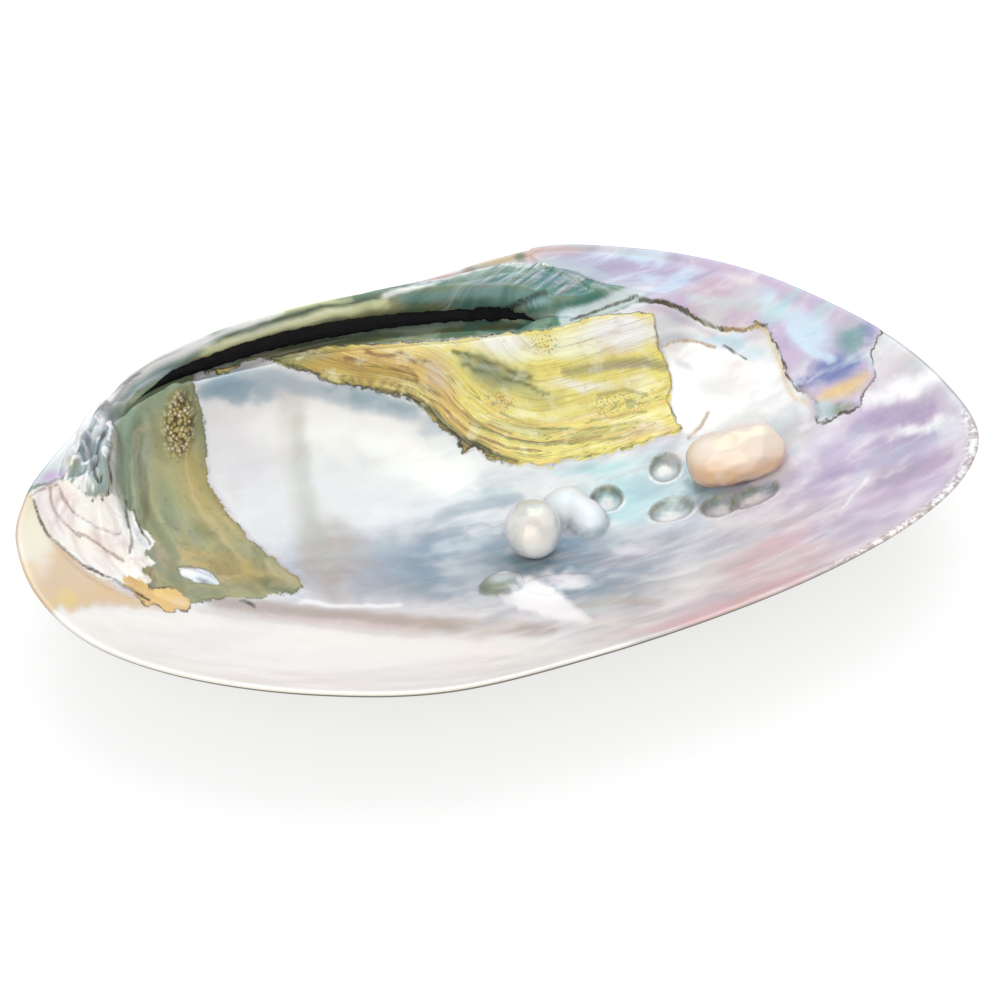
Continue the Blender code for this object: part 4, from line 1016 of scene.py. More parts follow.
def spread_rings(turns):
    """The inner rings' shares of the way out along each segment."""
    away = np.linspace(0, 1, STEPS_OF_A_RAY)
    rim = margin_point(CUP_CENTRE, turns)
    at = (CUP_CENTRE + away[None, :, None] * (rim - CUP_CENTRE)[:, None, :]).reshape(-1, 2)
    middle, width = HINGE_BAND
    beside, x = beside_hinge(at)
    slope = np.abs(beside) - np.interp(x, *GROOVE_HALF_WIDTH)
    across = np.repeat(ramp(np.degrees(turns), *HINGE_TURNS), STEPS_OF_A_RAY)
    crowding = HINGE_CROWDING * np.exp(-(((beside - middle) / width) ** 2))
    fineness = 1 + across * (crowding + SLOPE_CROWDING * np.exp(-((slope / SLOPE_BAND) ** 2)))
    for spot in SPOT_CROWDING:
        fineness = fineness + spot[5] * np.exp(-in_oval(at, spot) ** 2)
    fineness = fineness.reshape(len(turns), -1)
    shares = np.linspace(0, 1, INNER_RINGS + 1)
    rings = np.array([evened(shares, away, row) for row in fineness])
    shifts = range(-RING_SOFTNESS, RING_SOFTNESS + 1)
    for _ in range(RING_PASSES):
        rings = np.mean([np.roll(rings, shift, axis=0) for shift in shifts], axis=0)
    return rings


def laid_over(colour, share, name, colours):
    """A named colour laid over another one."""
    return colour + share[:, None] * (np.array(getattr(colours, name)) - colour)


def flows(at, spots, area, colour, colours):
    """Streaks of shimmer drawn out along the valve."""
    for name, paint_name, size, turn, low, high, strength, start, end in FLOWS:
        if name == area:
            share = strength * ramp(grain(turned(at, turn) * FLOW_STRETCH, size, 4, size), low, high)
            colour = laid_over(colour, share * ramp(spots[:, 0], start, end), paint_name, colours)
    return colour


def washed(spots, wander, area, colours):
    """The soft colours of one area at each spot of the photo."""
    steady = spots + WASH_SETTLED * wander
    spots = spots + WASH_WANDER.get(area, WASH_SETTLED) * wander
    ground, *ovals = WASHES[area]
    colour = np.tile(np.array(getattr(colours, ground)), (len(spots), 1))
    for oval in ovals:
        colour = laid_over(colour, oval[6] * within(spots, oval), oval[5], colours)
    for name, paint_name, half_width, strength, line in STROKES:
        if name == area:
            share = strength * ramp(-beside_line(steady, line) * PHOTO_SCALE / half_width, -1.0, -0.25)
            colour = laid_over(colour, share, paint_name, colours)
    return colour


def paint(mesh, name, values):
    """Stores a value or a colour at each vertex."""
    values = np.asarray(values, np.float32)
    if values.ndim == 1:
        mesh.attributes.new(name, "FLOAT", "POINT").data.foreach_set("value", values)
    else:
        rows = np.column_stack([values, np.ones(len(values), np.float32)])
        mesh.attributes.new(name, "FLOAT_COLOR", "POINT").data.foreach_set("color", rows.ravel())


def build_valve(sizes, colours):
    """A sheet closed to a cup: its first rings become the inside and its last rings the outside."""
    valve = Valve(sizes)
    rings = INNER_RINGS + OUTER_RINGS + 1
    bm = bmesh.new()
    bmesh.ops.create_grid(bm, x_segments=SEGMENTS, y_segments=rings, size=1.0)
    order = bm.verts.layers.int.new("order")
    for number, vertex in enumerate(bm.verts):
        vertex[order] = number
    grid = np.array([v.co for v in bm.verts]) / 2 + 0.5
    ring = np.rint(grid[:, 1] * rings).astype(int)
    segment = np.rint(grid[:, 0] * SEGMENTS).astype(int) % SEGMENTS
    turns = spread_turns()
    is_inside = ring <= INNER_RINGS
    inner_share = spread_rings(turns)[segment, np.minimum(ring, INNER_RINGS)]
    outer_share = np.sin(np.clip((rings - ring) / (OUTER_RINGS + 1), 0, 1) * math.pi / 2) ** 1.15
    rim = margin_point(CUP_CENTRE, turns[segment])
    centre = np.where(is_inside[:, None], CUP_CENTRE, BEAK)
    share = np.where(is_inside, inner_share, outer_share)
    at = centre + share[:, None] * (rim - centre)
    height = valve.outside(at)
    height[is_inside], fields, soft = build_inside(valve, at[is_inside], colours)
    marks = {name: np.zeros(len(at)) for name in fields}
    tints = {name: np.zeros((len(at), 3)) for name in soft}
    for name, values in fields.items():
        marks[name][is_inside] = values
    for name, values in soft.items():
        tints[name][is_inside] = values
    height[ring == INNER_RINGS] = valve.rim
    moved = np.column_stack([at - MIDDLE, height]) * MM
    for vertex, place in zip(bm.verts, moved):
        vertex.co = place
    seams = [v for v, x, y in zip(bm.verts, grid[:, 0], grid[:, 1]) if min(x, y, 1 - x, 1 - y) < 1e-4]
    bmesh.ops.remove_doubles(bm, verts=seams, dist=1e-7)
    kept = [v[order] for v in bm.verts]
    bm.verts.layers.int.remove(order)
    bmesh.ops.recalc_face_normals(bm, faces=bm.faces)
    obj = as_object("valve", bm)
    marks["inner"] = is_inside.astype(float)
    marks["age"] = share_of_reach(at, BEAK)
    marks["edge"] = share_of_reach(at, CUP_CENTRE)
    for name, values in marks.items():
        paint(obj.data, name, values[kept])
    for name, values in tints.items():
        paint(obj.data, name + "_wash", values[kept])
    return obj


def build_inside(valve, at, colours):
    """Heights, marks and soft colours of the inside."""
    beside, x = beside_hinge(at)
    half = np.interp(x, *GROOVE_HALF_WIDTH)
    width = np.interp(x, *BLADE_WIDTH)
    height = valve.with_hinge(at, valve.cup(at), beside, x)
    for form in FRONT_TEETH + CRUST_LUMPS + GROWN_IN_PEARLS + PEARL_HOLLOWS + TOOTH_PITS:
        height = height + dome(at, form)
    torn = grain(at, TORN_GRAIN, seed=8.8)
    hollow = nearest_oval(at, PEARL_HOLLOWS)
    height = height + TORN_HEIGHT * np.abs(torn) * ramp(-hollow, *TORN_FADE)
    height = height + np.cbrt(sum(dome(at, form) ** 3 for form in JOINED_PEARLS))
    for terrace in SCAR_TERRACES:
        height = height + terrace[5] * within(at, terrace, 1.0, 1.0 - TERRACE_EDGE)
    spots = in_photo(at, height)
    wander = np.column_stack([grain(spots, RAGGED_GRAIN), grain(spots, RAGGED_GRAIN, seed=4.1)])
    ragged = spots + RAGGED_WANDER * wander
    fields = {name: depth_inside(ragged, outline) for name, outline in AREAS.items()}
    for name in RAISED_LAYERS:
        height = height + LAYER_HEIGHT * ramp(fields[name], -LAYER_EDGE, LAYER_EDGE)
    wall = 1 - ramp(share_of_reach(at, CUP_CENTRE), *RELIEF_FADE)
    waves = WAVES * grain(at * WAVE_STRETCH, WAVE_LENGTH)
    height = height + wall * (waves + RIPPLES * grain(at, RIPPLE_LENGTH, seed=2.2))
    crumple = within(spots, CRUMPLED, 1.1, 0.7) * wall
    folds = 1 - 2 * np.abs(grain(at, CRUMPLE_GRAIN, octaves=4, seed=9.1))
    height = height + crumple * CRUMPLE_HEIGHT * folds
    crumbs = np.abs(grain(at, CRUMB_GRAIN, seed=6.6))
    height = height + within(spots, CRUMBLY, 1.1, 0.6) * CRUMB_HEIGHT * crumbs
    start = half + 0.3 + 2.0 * ramp(x, *TIP_START)
    fan = ramp(beside, start, start + FAN_EDGE) * ramp(half + width - beside, 0, FAN_EDGE)
    fan = fan * ramp(x, *FAN_START)
    height = height + fan * FAN_RELIEF * grain(turned(at, FAN_TURN) * FAN_STRETCH, 1.0, seed=5.0)
    for kind in ("dark", "rust"):
        fields[kind] = np.full(len(at), FIELD_REACH)
    for kind, half_width, depth, line in CREASES:
        distance = beside_line((spots + ragged) / 2, line)
        height = height - wall * depth * np.exp(-((distance / half_width) ** 2))
        if kind in fields:
            fields[kind] = np.minimum(fields[kind], distance)
    for pearl in (WHITE_PEARL, PINK_PEARL):
        height = np.minimum(height, under_pearl(at, pearl))
    height = np.maximum(height, valve.outside(at) + valve.half_edge(at))
    strip = ramp(-beside_line(spots, TIP_STRIP) * PHOTO_SCALE / TIP_STRIP_WIDTH, -1.0, -0.6)
    behind = np.clip(beside - half - width + 0.6, -FIELD_REACH, FIELD_REACH)
    front = np.maximum(fields["end"], fields["scar"])
    fields.update(
        behind=np.where(front > -0.5, -FIELD_REACH, behind),
        socket=hollow,
        blister=nearest_oval(at, JOINED_PEARLS),
        # Height of the crumpled teeth's folds, which the finish turns into painted shade and highlights.
        folds=crumple * (folds - FOLD_MIDDLE) * ramp(in_oval(spots, TEETH_PIT), *PIT_FADE),
        crust=within(spots, CRUSTED, 1.0, 0.5),
        specks=np.max([within(spots, oval, 1.0, 0.6) for oval in SPECKLED], axis=0),
        fan=fan * (1 - strip),
        strip=strip,
        growth=nearest_on(spots, smooth_curve(STAIN_FOOT, closed=False, per_span=6))[0] / PHOTO_SCALE,
        lively=LIVELY_LEAST + (1 - LIVELY_LEAST) * ramp(spots[:, 0], *LIVELY_FROM),
        tail=ramp(at[:, 0], *TAIL_X) * ramp(-at[:, 1], *TAIL_Y),
        # Share of the stain's dark edge line, partly painted shade, that is kept; it fades out in one place.
        worn=1 - EDGE_FADE_STRENGTH * ramp(spots[:, 0], *EDGE_FADE_X) * ramp(spots[:, 1], *EDGE_FADE_Y),
        broken=ramp(grain(at, BROKEN_GRAIN, seed=3.3), *BROKEN_NOISE),
    )
    wander = np.column_stack([grain(spots, WASH_GRAIN), grain(spots, WASH_GRAIN, seed=7.3)])
    soft = {name: flows(at, spots, name, washed(spots, wander, name, colours), colours) for name in WASHES}
    for form in PEARL_HOLLOWS:
        soft["floor"] = shaded_hollow(at, form, torn, soft["floor"], colours)
    soft["floor"] = shaded_blister(at, GROWN_IN_PEARLS[0], soft["floor"], colours)
    return height, fields, soft


def shaded_hollow(at, form, torn, colour, colours):
    """A torn hollow: painted shade under its far edge, pale inside, and a painted highlight along its near
    edge.
    """
    away, north = in_oval(at, form), (at[:, 1] - form[1]) / form[3]
    # Noise breaks up the painted shade and the dark rim line.
    worn = HOLLOW_DARK_LEAST + (1 - HOLLOW_DARK_LEAST) * ramp(torn, *HOLLOW_DARK_NOISE)
    dark = HOLLOW_DARK * worn * ramp(north, *HOLLOW_DARK_SIDE) * band(away, 0.20, 0.75, 0.90, 1.12)
    line = HOLLOW_LINE * worn * band(away, 0.80, 0.92, 1.00, 1.10)
    inner = HOLLOW_INSIDE * ramp(-away, -0.80, -0.25)
    light = HOLLOW_LIGHT * ramp(-north, 0.0, 0.7) * band(away, 1.02, 1.12, 1.18, 1.34)
    cream = inner * ramp(torn, *CREAM_NOISE)
    coats = (inner, "milk"), (cream, "cream"), (0.8 * dark, "slate"), (0.5 * dark, "moss"), (line, "moss")
    for share, name in (*coats, (light, "white")):
        colour = laid_over(colour, share, name, colours)
    return colour


def shaded_blister(at, form, colour, colours):
    """A grown-in pearl: grey-green, with painted shade around its front end and a painted glint on top."""
    away, west = in_oval(at, form), (form[0] - at[:, 0]) / form[2]
    dark = band(away, 0.30, 0.85, 0.95, 1.10) * ramp(west, *BLISTER_DARK_SIDE)
    body = BLISTER_BODY * ramp(-away, -1.0, -0.7)
    glint = GLINT_STRENGTH * within(at, BLISTER_GLINT, 1.0, 0.4)
    for share, name in ((body, "lichen"), (0.7 * dark, "moss"), (glint, "white")):
        colour = laid_over(colour, share, name, colours)
    return colour


def as_object(name, bm):
    """Makes the mesh a smooth-shaded object in the scene."""
    mesh = bpy.data.meshes.new(name)
    bm.to_mesh(mesh)
    bm.free()
    mesh.shade_smooth()
    obj = bpy.data.objects.new(name, mesh)
    bpy.context.scene.collection.objects.link(obj)
    return obj


def build_ligament():
    """A strip of dried ligament: a sphere drawn out along the groove."""
    bm = bmesh.new()
    bmesh.ops.create_uvsphere(bm, u_segments=LIGAMENT_MESH[0], v_segments=LIGAMENT_MESH[1], radius=1.0)
    for vertex in bm.verts:
        x, y, z = vertex.co
        start, end = LIGAMENT_SPAN
        along = start + (end - start) * math.acos(max(-1, min(1, -z))) / math.pi
        middle = np.array([along, np.interp(along, HINGE_CURVE[:, 0], HINGE_CURVE[:, 1])])
        slope = np.interp(along + 1, HINGE_CURVE[:, 0], HINGE_CURVE[:, 1]) - middle[1]
        across = np.array([-slope, 1]) / math.hypot(slope, 1)
        ring = math.hypot(x, y) or 1e-9
        crumbling = LIGAMENT_ROUGH + LIGAMENT_CRUMBS * float(ramp(np.float64(along), *LIGAMENT_CRUMBLES))
        spot = (along / LIGAMENT_GRAIN, 2 * y / ring, 2 * x / ring)
        rough = 1 + crumbling * noise.fractal(spot, 1.0, 2.0, 4)
        half = np.interp(along, *LIGAMENT_HALF_WIDTH) * min(1, ring * 3) * rough
        at = middle + across * (half * y / ring + LIGAMENT_SHIFT * min(1, half)) - MIDDLE
        lift = LIGAMENT_HALF_HEIGHT * min(1, half) * x / ring * rough
        vertex.co = (at[0] * MM, at[1] * MM, (PLATE_HEIGHT - GROOVE_DEPTH + LIGAMENT_LIFT + lift) * MM)
    bmesh.ops.recalc_face_normals(bm, faces=bm.faces)
    return as_object("dried_ligament", bm)


def build_pearl(name, pearl, shape):
    """A pearl: a sphere whose vertices the shape function moves, laid in its socket."""
    (x, y, z), half_sizes, turn, lift = pearl
    bm = bmesh.new()
    bmesh.ops.create_uvsphere(bm, u_segments=PEARL_MESH[0], v_segments=PEARL_MESH[1], radius=1.0)
    ct, st = math.cos(math.radians(turn)), math.sin(math.radians(turn))
    cl, sl = math.cos(math.radians(lift)), math.sin(math.radians(lift))
    for vertex in bm.verts:
        a, b, c = (s * v for s, v in zip(half_sizes, shape(vertex.co.copy())))
        a, c = cl * a - sl * c, sl * a + cl * c
        a, b = ct * a - st * b, st * a + ct * b
        vertex.co = ((x + a - MIDDLE[0]) * MM, (y + b - MIDDLE[1]) * MM, (z + c) * MM)
    return as_object(name, bm)


def round_shape(co):
    """Nearly a ball, with a few soft dents."""
    return co * (1 + 0.025 * noise.noise(co * 1.6) + 0.006 * noise.noise(co * 6))


def faceted(co):
    """Cuts flat facets off the tail end."""
    for x, y, z, depth in PEARL_FACETS:
        normal = Vector((x, y, z)).normalized()
        co = co - normal * max(0.0, co.dot(normal) - depth)
    return co


def barrel_shape(co):
    """A barrel with a round front end and a puckered tail end."""
    around = math.hypot(co.y, co.z) or 1e-9
    along, across = BARREL_POWERS
    side = min(1.0, (1 - abs(co.x) ** along)) ** (1 / across) / around if abs(co.x) < 1 else 0
    tail = max(0.0, (co.x - BARREL_TAIL) / (1 - BARREL_TAIL))
    folds = PUCKER_DEPTH * tail * math.sin(PUCKERS * math.atan2(co.z, co.y))
    wide = side * (1 - TAIL_TAPER * tail + folds + 0.05 * noise.noise(co * 3))
    return faceted(Vector((co.x * (1 - TAIL_SHORTENING * tail), co.y * wide, co.z * wide)))


class Value:
    """A number that varies over a surface. Sums, differences and products of it add Math nodes."""

    def __init__(self, finish, socket):
        self.finish, self.socket = finish, socket

    def math(self, operation, *others, clamp=False):
        settings = {"operation": operation, "use_clamp": clamp}
        return self.finish.node("ShaderNodeMath", settings, dict(enumerate(others)))

    def __add__(self, other):
        return self.math("ADD", self, other)

    def __sub__(self, other):
        return self.math("SUBTRACT", self, other)

    def __rsub__(self, other):
        return self.math("SUBTRACT", other, self)

    def __mul__(self, other):
        return self.math("MULTIPLY", self, other)

    def __abs__(self):
        return self.math("ABSOLUTE", self)

    __radd__ = __add__
    __rmul__ = __mul__


class Finish:
    """A material with a Principled shader, whose constants are named in the call."""

    def __init__(self, name, **constants):
        self.material = bpy.data.materials.new(name)
        self.material.use_nodes = True
        self.tree = self.material.node_tree
        self.shader = self.tree.nodes["Principled BSDF"]
        for key, value in constants.items():
            self.shader.inputs[key.replace("_", " ")].default_value = value

    def node(self, kind, settings, inputs, output=0):
        """Adds a node: its settings first, and then the values or links of its sockets."""
        node = self.tree.nodes.new(kind)
        for key, value in settings.items():
            setattr(node, key, value)
        for key, value in inputs.items():
            self.put(node.inputs[key], value)
        return Value(self, node.outputs[output])

    def put(self, socket, value):
        if isinstance(value, Value):
            self.tree.links.new(value.socket, socket)
        elif socket.type == "RGBA" and len(value) == 3:
            socket.default_value = (*value, 1.0)
        else:
            socket.default_value = value

    def feed(self, **values):
        """Links values to the shader's own sockets."""
        for key, value in values.items():
            self.put(self.shader.inputs[key.replace("_", " ")], value)

    def place(self):
        return self.node("ShaderNodeTexCoord", {}, {}, "Object")

    def stretched(self, scale, turn=0.0):
        """Object coordinates turned about Z by some degrees, and then scaled."""
        turned_place = self.node("ShaderNodeVectorRotate", {"rotation_type": "Z_AXIS"},
                                 {"Vector": self.place(), "Angle": math.radians(turn)})
        return self.node("ShaderNodeVectorMath", {"operation": "MULTIPLY"}, {0: turned_place, 1: scale})

    def streaks(self, name, fineness, along, twist=0.0):
        """Noise drawn out along the lines of equal depth in an area."""
        x = self.node("ShaderNodeSeparateXYZ", {}, {0: self.place()}, "X")
        vector = self.node("ShaderNodeCombineXYZ", {}, {"X": self.field(name) * fineness, "Y": x * along})
        inputs = {"Vector": vector, "Scale": 1.0, "Detail": 3.0, "Roughness": 0.62, "Distortion": twist}
        return self.node("ShaderNodeTexNoise", {"noise_dimensions": "2D"}, inputs, "Fac")

    def field(self, name):
        return self.node("ShaderNodeAttribute", {"attribute_name": name}, {}, "Fac")

    def wash(self, name):
        return self.node("ShaderNodeAttribute", {"attribute_name": name}, {}, "Color")

    def clouds(self, size, detail=3.0, roughness=0.5, twist=0.0, vector=None):
        """Noise from 0 to 1 with features of about the given size in metres."""
        inputs = {"Vector": vector or self.place(), "Scale": 1 / size, "Detail": detail,
                  "Roughness": roughness, "Distortion": twist}
        return self.node("ShaderNodeTexNoise", {}, inputs, "Fac")

    def step(self, value, low, high):
        """Rises smoothly from 0 at low to 1 at high."""
        return self.node("ShaderNodeMapRange", {"interpolation_type": "SMOOTHSTEP"},
                         {"Value": value, "From Min": low, "From Max": high})

    def line(self, value, middle, core, end):
        """1 along a middle value, fading to 0 on both sides of it."""
        return 1 - self.step(abs(value - middle), core, end)

    def math_max(self, one, other):
        return one.math("MAXIMUM", one, other)

    def mix(self, share, one, other, blend="MIX"):
        settings = {"data_type": "RGBA", "blend_type": blend}
        return self.node("ShaderNodeMix", settings, {0: share, 6: one, 7: other}, 2)

    def bump(self, height, distance, strength=1.0, normal=None):
        inputs = {"Height": height, "Distance": distance, "Strength": strength}
        if normal:
            inputs["Normal"] = normal
        return self.node("ShaderNodeBump", {}, inputs)


def patterned(f, tint, area, patterns, foot, hue):
    """The patterns of an area laid over its soft colours."""
    for name, where, pattern, edge, strength, at_foot, paint_name in PATTERNS:
        if name == area:
            share = f.step(patterns[pattern], *edge) if edge else patterns[pattern]
            if where:
                share = f.field(where) * share
            if at_foot:
                strength = strength + at_foot * foot
            tint = f.mix(share * strength, tint, hue[paint_name])
    return tint


def shimmering(f, colour, gleam, shade, shadow, hue):
    """Brushed light and shade over a pearly colour."""
    return f.mix(shade, f.mix(gleam, colour, hue["white"]), shadow, "MULTIPLY")


def valve_finish(colours):
    """Mother of pearl with its stained layers inside, and horny skin outside."""
    f = Finish("mother_of_pearl", Metallic=0.0, IOR=1.55, Coat_Roughness=0.16, Thin_Film_Thickness=380.0,
               Thin_Film_IOR=1.42)
    hue = {name: tuple(getattr(colours, name)) for name in colours.__annotations__}
    ragged = (f.clouds(*NOISES["ragged"]) - 0.5) * RAGGED_STRENGTH
    fine = (f.clouds(*NOISES["fine"]) - 0.5) * FINE_STRENGTH
    broken = f.field("broken")
    brushed = f.clouds(*NOISES["brushed"], f.stretched(BRUSHED_STRETCH, BRUSHED_TURN))
    gleam, shade = (f.step(brushed, low, high) * strength * f.field("lively")
                    for low, high, strength in (GLEAM, SHADE))
    colour = shimmering(f, f.wash("floor_wash"), gleam, shade, FLOOR_SHADOW, hue)
    colour = f.mix(1 - f.step(f.field("blister") + fine * 0.1, *BLISTER_TOP), colour, hue["pearl"])
    # Each torn hollow gets a pale cream floor, partly its own colour and partly a painted highlight, and a
    # thin painted shadow round its rim; the joined pearls get a thin ring of painted shade round their foot.
    socket = f.field("socket") + fine * SOCKET_WANDER[0] + ragged * SOCKET_WANDER[1]
    colour = f.mix((1 - f.step(socket, *SOCKET_FLOOR)) * 0.45, colour, hue["cream"])
    colour = f.mix(f.line(socket, *LINES["socket"]) * broken * 0.45, colour, hue["taupe"])
    colour = f.mix(f.line(f.field("blister"), *LINES["blister"]) * broken * 0.35, colour, hue["steel"])
    foot = 1 - f.step(f.field("growth"), *FOOT)
    streaks, sand = f.streaks("growth", *STREAKS["growth"]), f.clouds(*NOISES["sand"])
    cells = f.node("ShaderNodeTexVoronoi", {}, {"Vector": f.place(), "Scale": CELLS}, "Distance")
    fan = f.clouds(*NOISES["fan"], vector=f.stretched(FAN_GRAIN, -FAN_TURN))
    patterns = {
        "growth": streaks,
        "contour": f.line(streaks, *LINES["contour"]) * foot,
        "second contour": f.line(streaks, *LINES["second contour"]) * foot,
        "sand": sand,
        "speckle": f.step(sand, *SPECKLE) * (1 - broken),
        "patchy": f.clouds(*NOISES["patchy"]),
        "bubbles": cells + (sand - 0.5) * 0.8,
        "olive": f.streaks("olive", *STREAKS["olive"]),
        "behind": f.streaks("behind", *STREAKS["behind"]),
        "folds": f.field("folds"),
        "fan": fan,
        "fan line": f.line(fan, *LINES["fan"]) * f.field("fan"),
    }
    for name, soft, wander, line in AREA_EDGES:
        depth = f.field(name) + ragged * wander + fine
        mask = f.step(depth, -soft, soft)
        tint = patterned(f, f.wash(name + "_wash"), name, patterns, foot, hue)
        if name == "hinge":
            tint = f.mix(f.field("strip") * 0.70, tint, f.mix(brushed, hue["cyan"], hue["white"]))
        if name == "wing":
            tint = shimmering(f, tint, gleam, shade, WING_SHADOW, hue)
        colour = f.mix(mask, colour, tint)
        # A dark line along the area's edge: partly its broken edge and partly painted shade under the raised
        # layer's step.
        if line:
            dark = (1 - f.step(abs(depth), *BROKEN_EDGE)) * broken * line
            if name == "stain":
                dark = dark * f.field("worn")
            colour = f.mix(dark, colour, hue["bark"])
    back = shimmering(f, f.wash("behind_wash"), gleam, shade, BACK_SHADOW, hue)
    colour = f.mix(f.step(f.field("behind"), *BEHIND_EDGE), colour, back)
    rim = f.field("edge") + fine * 0.03 + ragged * 0.006
    chalk = f.step(rim, *CHALK) * f.step(f.field("tail"), 0.0, 1.0)
    colour = f.mix(f.step(f.field("edge"), *RIM_LINE) * 0.30, colour, hue["rust"])
    powder = f.step(sand, *POWDER)
    colour = f.mix(chalk * 0.75, colour, f.mix(powder, hue["taupe"], hue["white"]))
    halo = (1 - f.step(f.field("rust") + fine * 0.3, *HALO)) * (1 - f.step(f.field("scar"), -1.0, 0.0))
    colour = f.mix(halo * 0.30, colour, hue["amber"])
    faint = 0.6 + 0.4 * broken
    for kind, wander, core, end, strength, paint_name in CREASE_LINES:
        line = (1 - f.step(f.field(kind) + fine * wander, core, end)) * faint
        colour = f.mix(line * strength, colour, hue[paint_name])
    growth = f.streaks("age", *STREAKS["age"])
    skin = f.mix(f.step(growth, *SKIN_BANDS), hue["skin"], hue["skin_light"])
    skin = f.mix(f.line(growth, *LINES["age"]) * 0.6, skin, hue["bark"])
    skin = f.mix((1 - f.step(f.field("age") + ragged * 0.03, *WORN_BEAK)) * 0.8, skin, hue["taupe"])
    inner = f.field("inner")
    stained = f.math_max(f.step(f.field("olive"), -0.5, 0.5), f.step(f.field("stain"), -0.5, 0.5))
    f.feed(Base_Color=f.mix(inner, skin, colour), Roughness=0.55 - inner * (0.25 - 0.12 * stained),
           Coat_Weight=inner * (0.30 - 0.22 * stained))
    relief = f.bump(f.clouds(*NOISES["relief"]), RELIEF_BUMP)
    relief = f.bump(streaks * f.step(f.field("stain"), 0.0, 0.5), STREAK_BUMP, 0.8, relief)
    f.feed(Normal=f.bump((1 - cells) * f.field("crust"), CRUST_BUMP, 1.0, relief))
    return f.material


def ligament_finish(colours):
    f = Finish("dried_ligament", Base_Color=(*colours.ink, 1), Specular_IOR_Level=0.08)
    f.feed(Roughness=0.45 + 0.4 * f.clouds(0.002), Normal=f.bump(f.clouds(0.0011, 4.0, 0.7), 0.0003))
    return f.material


def white_pearl_finish(colours):
    f = Finish("white_pearl", Roughness=0.18, Coat_Weight=0.8, Coat_Roughness=0.05, IOR=1.6,
               Thin_Film_Thickness=420.0, Thin_Film_IOR=1.4)
    f.feed(Base_Color=f.mix(f.step(f.clouds(0.006), 0.4, 0.65), (0.79, 0.76, 0.72), (0.62, 0.60, 0.58)))
    return f.material


def pink_pearl_finish(colours):
    f = Finish("pink_pearl", Roughness=0.24, Coat_Weight=0.5, Coat_Roughness=0.10, IOR=1.6,
               Thin_Film_Thickness=420.0, Thin_Film_IOR=1.4)
    # Colour by height: orange-brown low down, peach above and palest on top, where the pale top is a painted
    # highlight.
    up = f.node("ShaderNodeSeparateXYZ", {}, {0: f.place()}, "Z") + (f.clouds(0.008) - 0.5) * 0.006
    colour = f.mix(f.step(up, 0.0085, 0.0125), (0.40, 0.19, 0.08), (0.72, 0.46, 0.28))
    colour = f.mix(f.step(up, 0.0135, 0.0175), colour, (0.84, 0.71, 0.60))
    milky = f.step(f.clouds(0.006, 2.0, 0.5, 0.6), 0.40, 0.75)
    f.feed(Base_Color=f.mix(milky * 0.4, colour, (0.88, 0.80, 0.76)))
    return f.material


def place_in_frame(obj, node, material):
    """Stands the piece for its CAD node."""
    obj.data.materials.append(material)
    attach(obj, "root")
    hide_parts(node)


class MESH_OT_half_shell_valve(bpy.types.Operator):
    """Build the valve with its pearly inside and horny outside"""

    bl_idname = "mesh.half_shell_valve"
    bl_label = "Valve"

    def execute(self, context):
        scene = context.scene
        obj = build_valve(scene.half_shell_sizes, scene.half_shell_colours)
        place_in_frame(obj, "shell", valve_finish(scene.half_shell_colours))
        return {"FINISHED"}


class MESH_OT_half_shell_ligament(bpy.types.Operator):
    """Build the dried ligament in its groove"""

    bl_idname = "mesh.half_shell_ligament"
    bl_label = "Ligament"

    def execute(self, context):
        place_in_frame(build_ligament(), "ligament",
                       ligament_finish(context.scene.half_shell_colours))
        return {"FINISHED"}


class MESH_OT_half_shell_pearls(bpy.types.Operator):
    """Build the white and the pink pearl in their sockets"""

    bl_idname = "mesh.half_shell_pearls"
    bl_label = "Pearls"

    def execute(self, context):
        colours = context.scene.half_shell_colours
        place_in_frame(build_pearl("round_pearl", WHITE_PEARL, round_shape), "white_pearl",
                       white_pearl_finish(colours))
        place_in_frame(build_pearl("barrel_pearl", PINK_PEARL, barrel_shape), "pink_pearl",
                       pink_pearl_finish(colours))
        return {"FINISHED"}


class SCENE_OT_half_shell_stage(bpy.types.Operator):
    """Build the floor, the lights and the camera"""

    bl_idname = "scene.half_shell_stage"
    bl_label = "Stage"

    def execute(self, context):
        build_stage(context.scene)
        return {"FINISHED"}


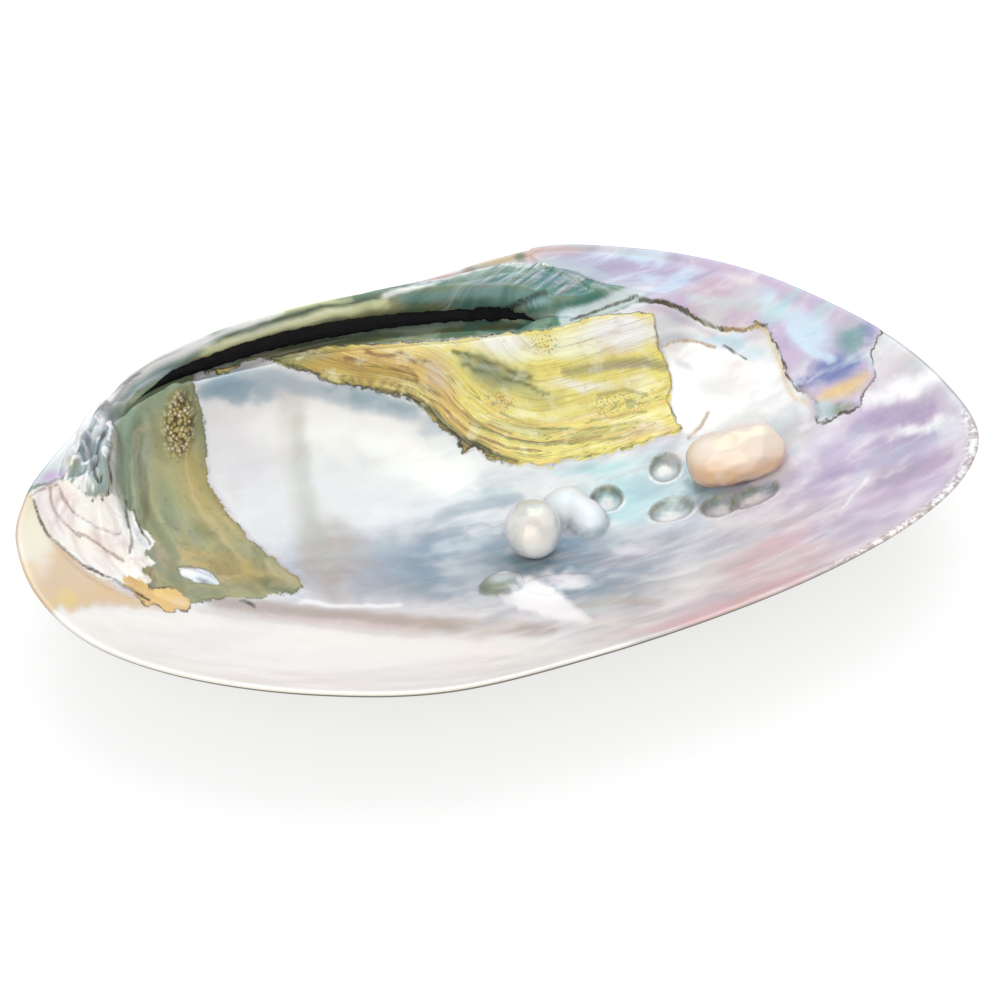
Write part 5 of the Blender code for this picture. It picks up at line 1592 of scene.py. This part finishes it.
def build_stage(scene):
    bm = bmesh.new()
    bmesh.ops.create_grid(bm, x_segments=1, y_segments=1, size=FLOOR_SIZE)
    floor = as_object("floor", bm)
    f = Finish("pale_floor", Base_Color=(FLOOR_GREY, FLOOR_GREY, FLOOR_GREY, 1), Roughness=0.9,
               Specular_IOR_Level=0.1, Emission_Color=(1, 1, 1, 1), Emission_Strength=FLOOR_GLOW)
    floor.data.materials.append(f.material)
    world = bpy.data.worlds.new("studio")
    world.use_nodes = True
    background = world.node_tree.nodes["Background"]
    background.inputs["Color"].default_value = (1, 1, 1, 1)
    background.inputs["Strength"].default_value = SKY_STRENGTH
    scene.world = world
    for name, place, size, power in LIGHTS:
        light = bpy.data.lights.new(name, "AREA")
        light.size, light.energy = size, power
        lamp = bpy.data.objects.new(name, light)
        lamp.location = place
        lamp.rotation_mode = "QUATERNION"
        lamp.rotation_quaternion = Vector(place).to_track_quat("Z", "Y")
        scene.collection.objects.link(lamp)
    scene.view_settings.view_transform = "Standard"
    back = camera_axes()[2]
    data = bpy.data.cameras.new("photo_view")
    camera = bpy.data.objects.new("photo_view", data)
    scene.collection.objects.link(camera)
    target = np.array(VIEW_TARGET) - (*MIDDLE, 0.0)
    camera.location = (target + back * VIEW_DISTANCE) * MM
    camera.rotation_mode = "QUATERNION"
    camera.rotation_quaternion = Vector(-back).to_track_quat("-Z", "Y")
    data.sensor_width = SENSOR
    data.lens = PHOTO_SCALE * VIEW_DISTANCE / PHOTO_SIZE * SENSOR
    data.shift_y = (PHOTO_MIDDLE[1] - PHOTO_SIZE / 2) / PHOTO_SIZE
    data.clip_start = 0.01
    scene.camera = camera


class VIEW3D_PT_half_shell(bpy.types.Panel):
    """Lists the half shell's pieces, sizes and colours"""

    bl_label = "Half Shell"
    bl_idname = "VIEW3D_PT_half_shell"
    bl_space_type = "VIEW_3D"
    bl_region_type = "UI"
    bl_category = "Half Shell"

    def draw(self, context):
        for group in (context.scene.half_shell_sizes, context.scene.half_shell_colours):
            for name in group.__annotations__:
                self.layout.prop(group, name)
        for operator in OPERATORS:
            self.layout.operator(operator.bl_idname)


OPERATORS = (MESH_OT_half_shell_valve, MESH_OT_half_shell_ligament, MESH_OT_half_shell_pearls,
             SCENE_OT_half_shell_stage)
CLASSES = (HalfShellSizes, HalfShellColours, *OPERATORS, VIEW3D_PT_half_shell)


def register():
    for cls in CLASSES:
        bpy.utils.register_class(cls)
    bpy.types.Scene.half_shell_sizes = bpy.props.PointerProperty(type=HalfShellSizes)
    bpy.types.Scene.half_shell_colours = bpy.props.PointerProperty(type=HalfShellColours)


def unregister():
    del bpy.types.Scene.half_shell_colours
    del bpy.types.Scene.half_shell_sizes
    for cls in reversed(CLASSES):
        bpy.utils.unregister_class(cls)


def main():
    """Builds every piece and the stage."""
    register()
    bpy.ops.mesh.half_shell_valve()
    bpy.ops.mesh.half_shell_ligament()
    bpy.ops.mesh.half_shell_pearls()
    bpy.ops.scene.half_shell_stage()


if __name__ == "__main__":
    main()
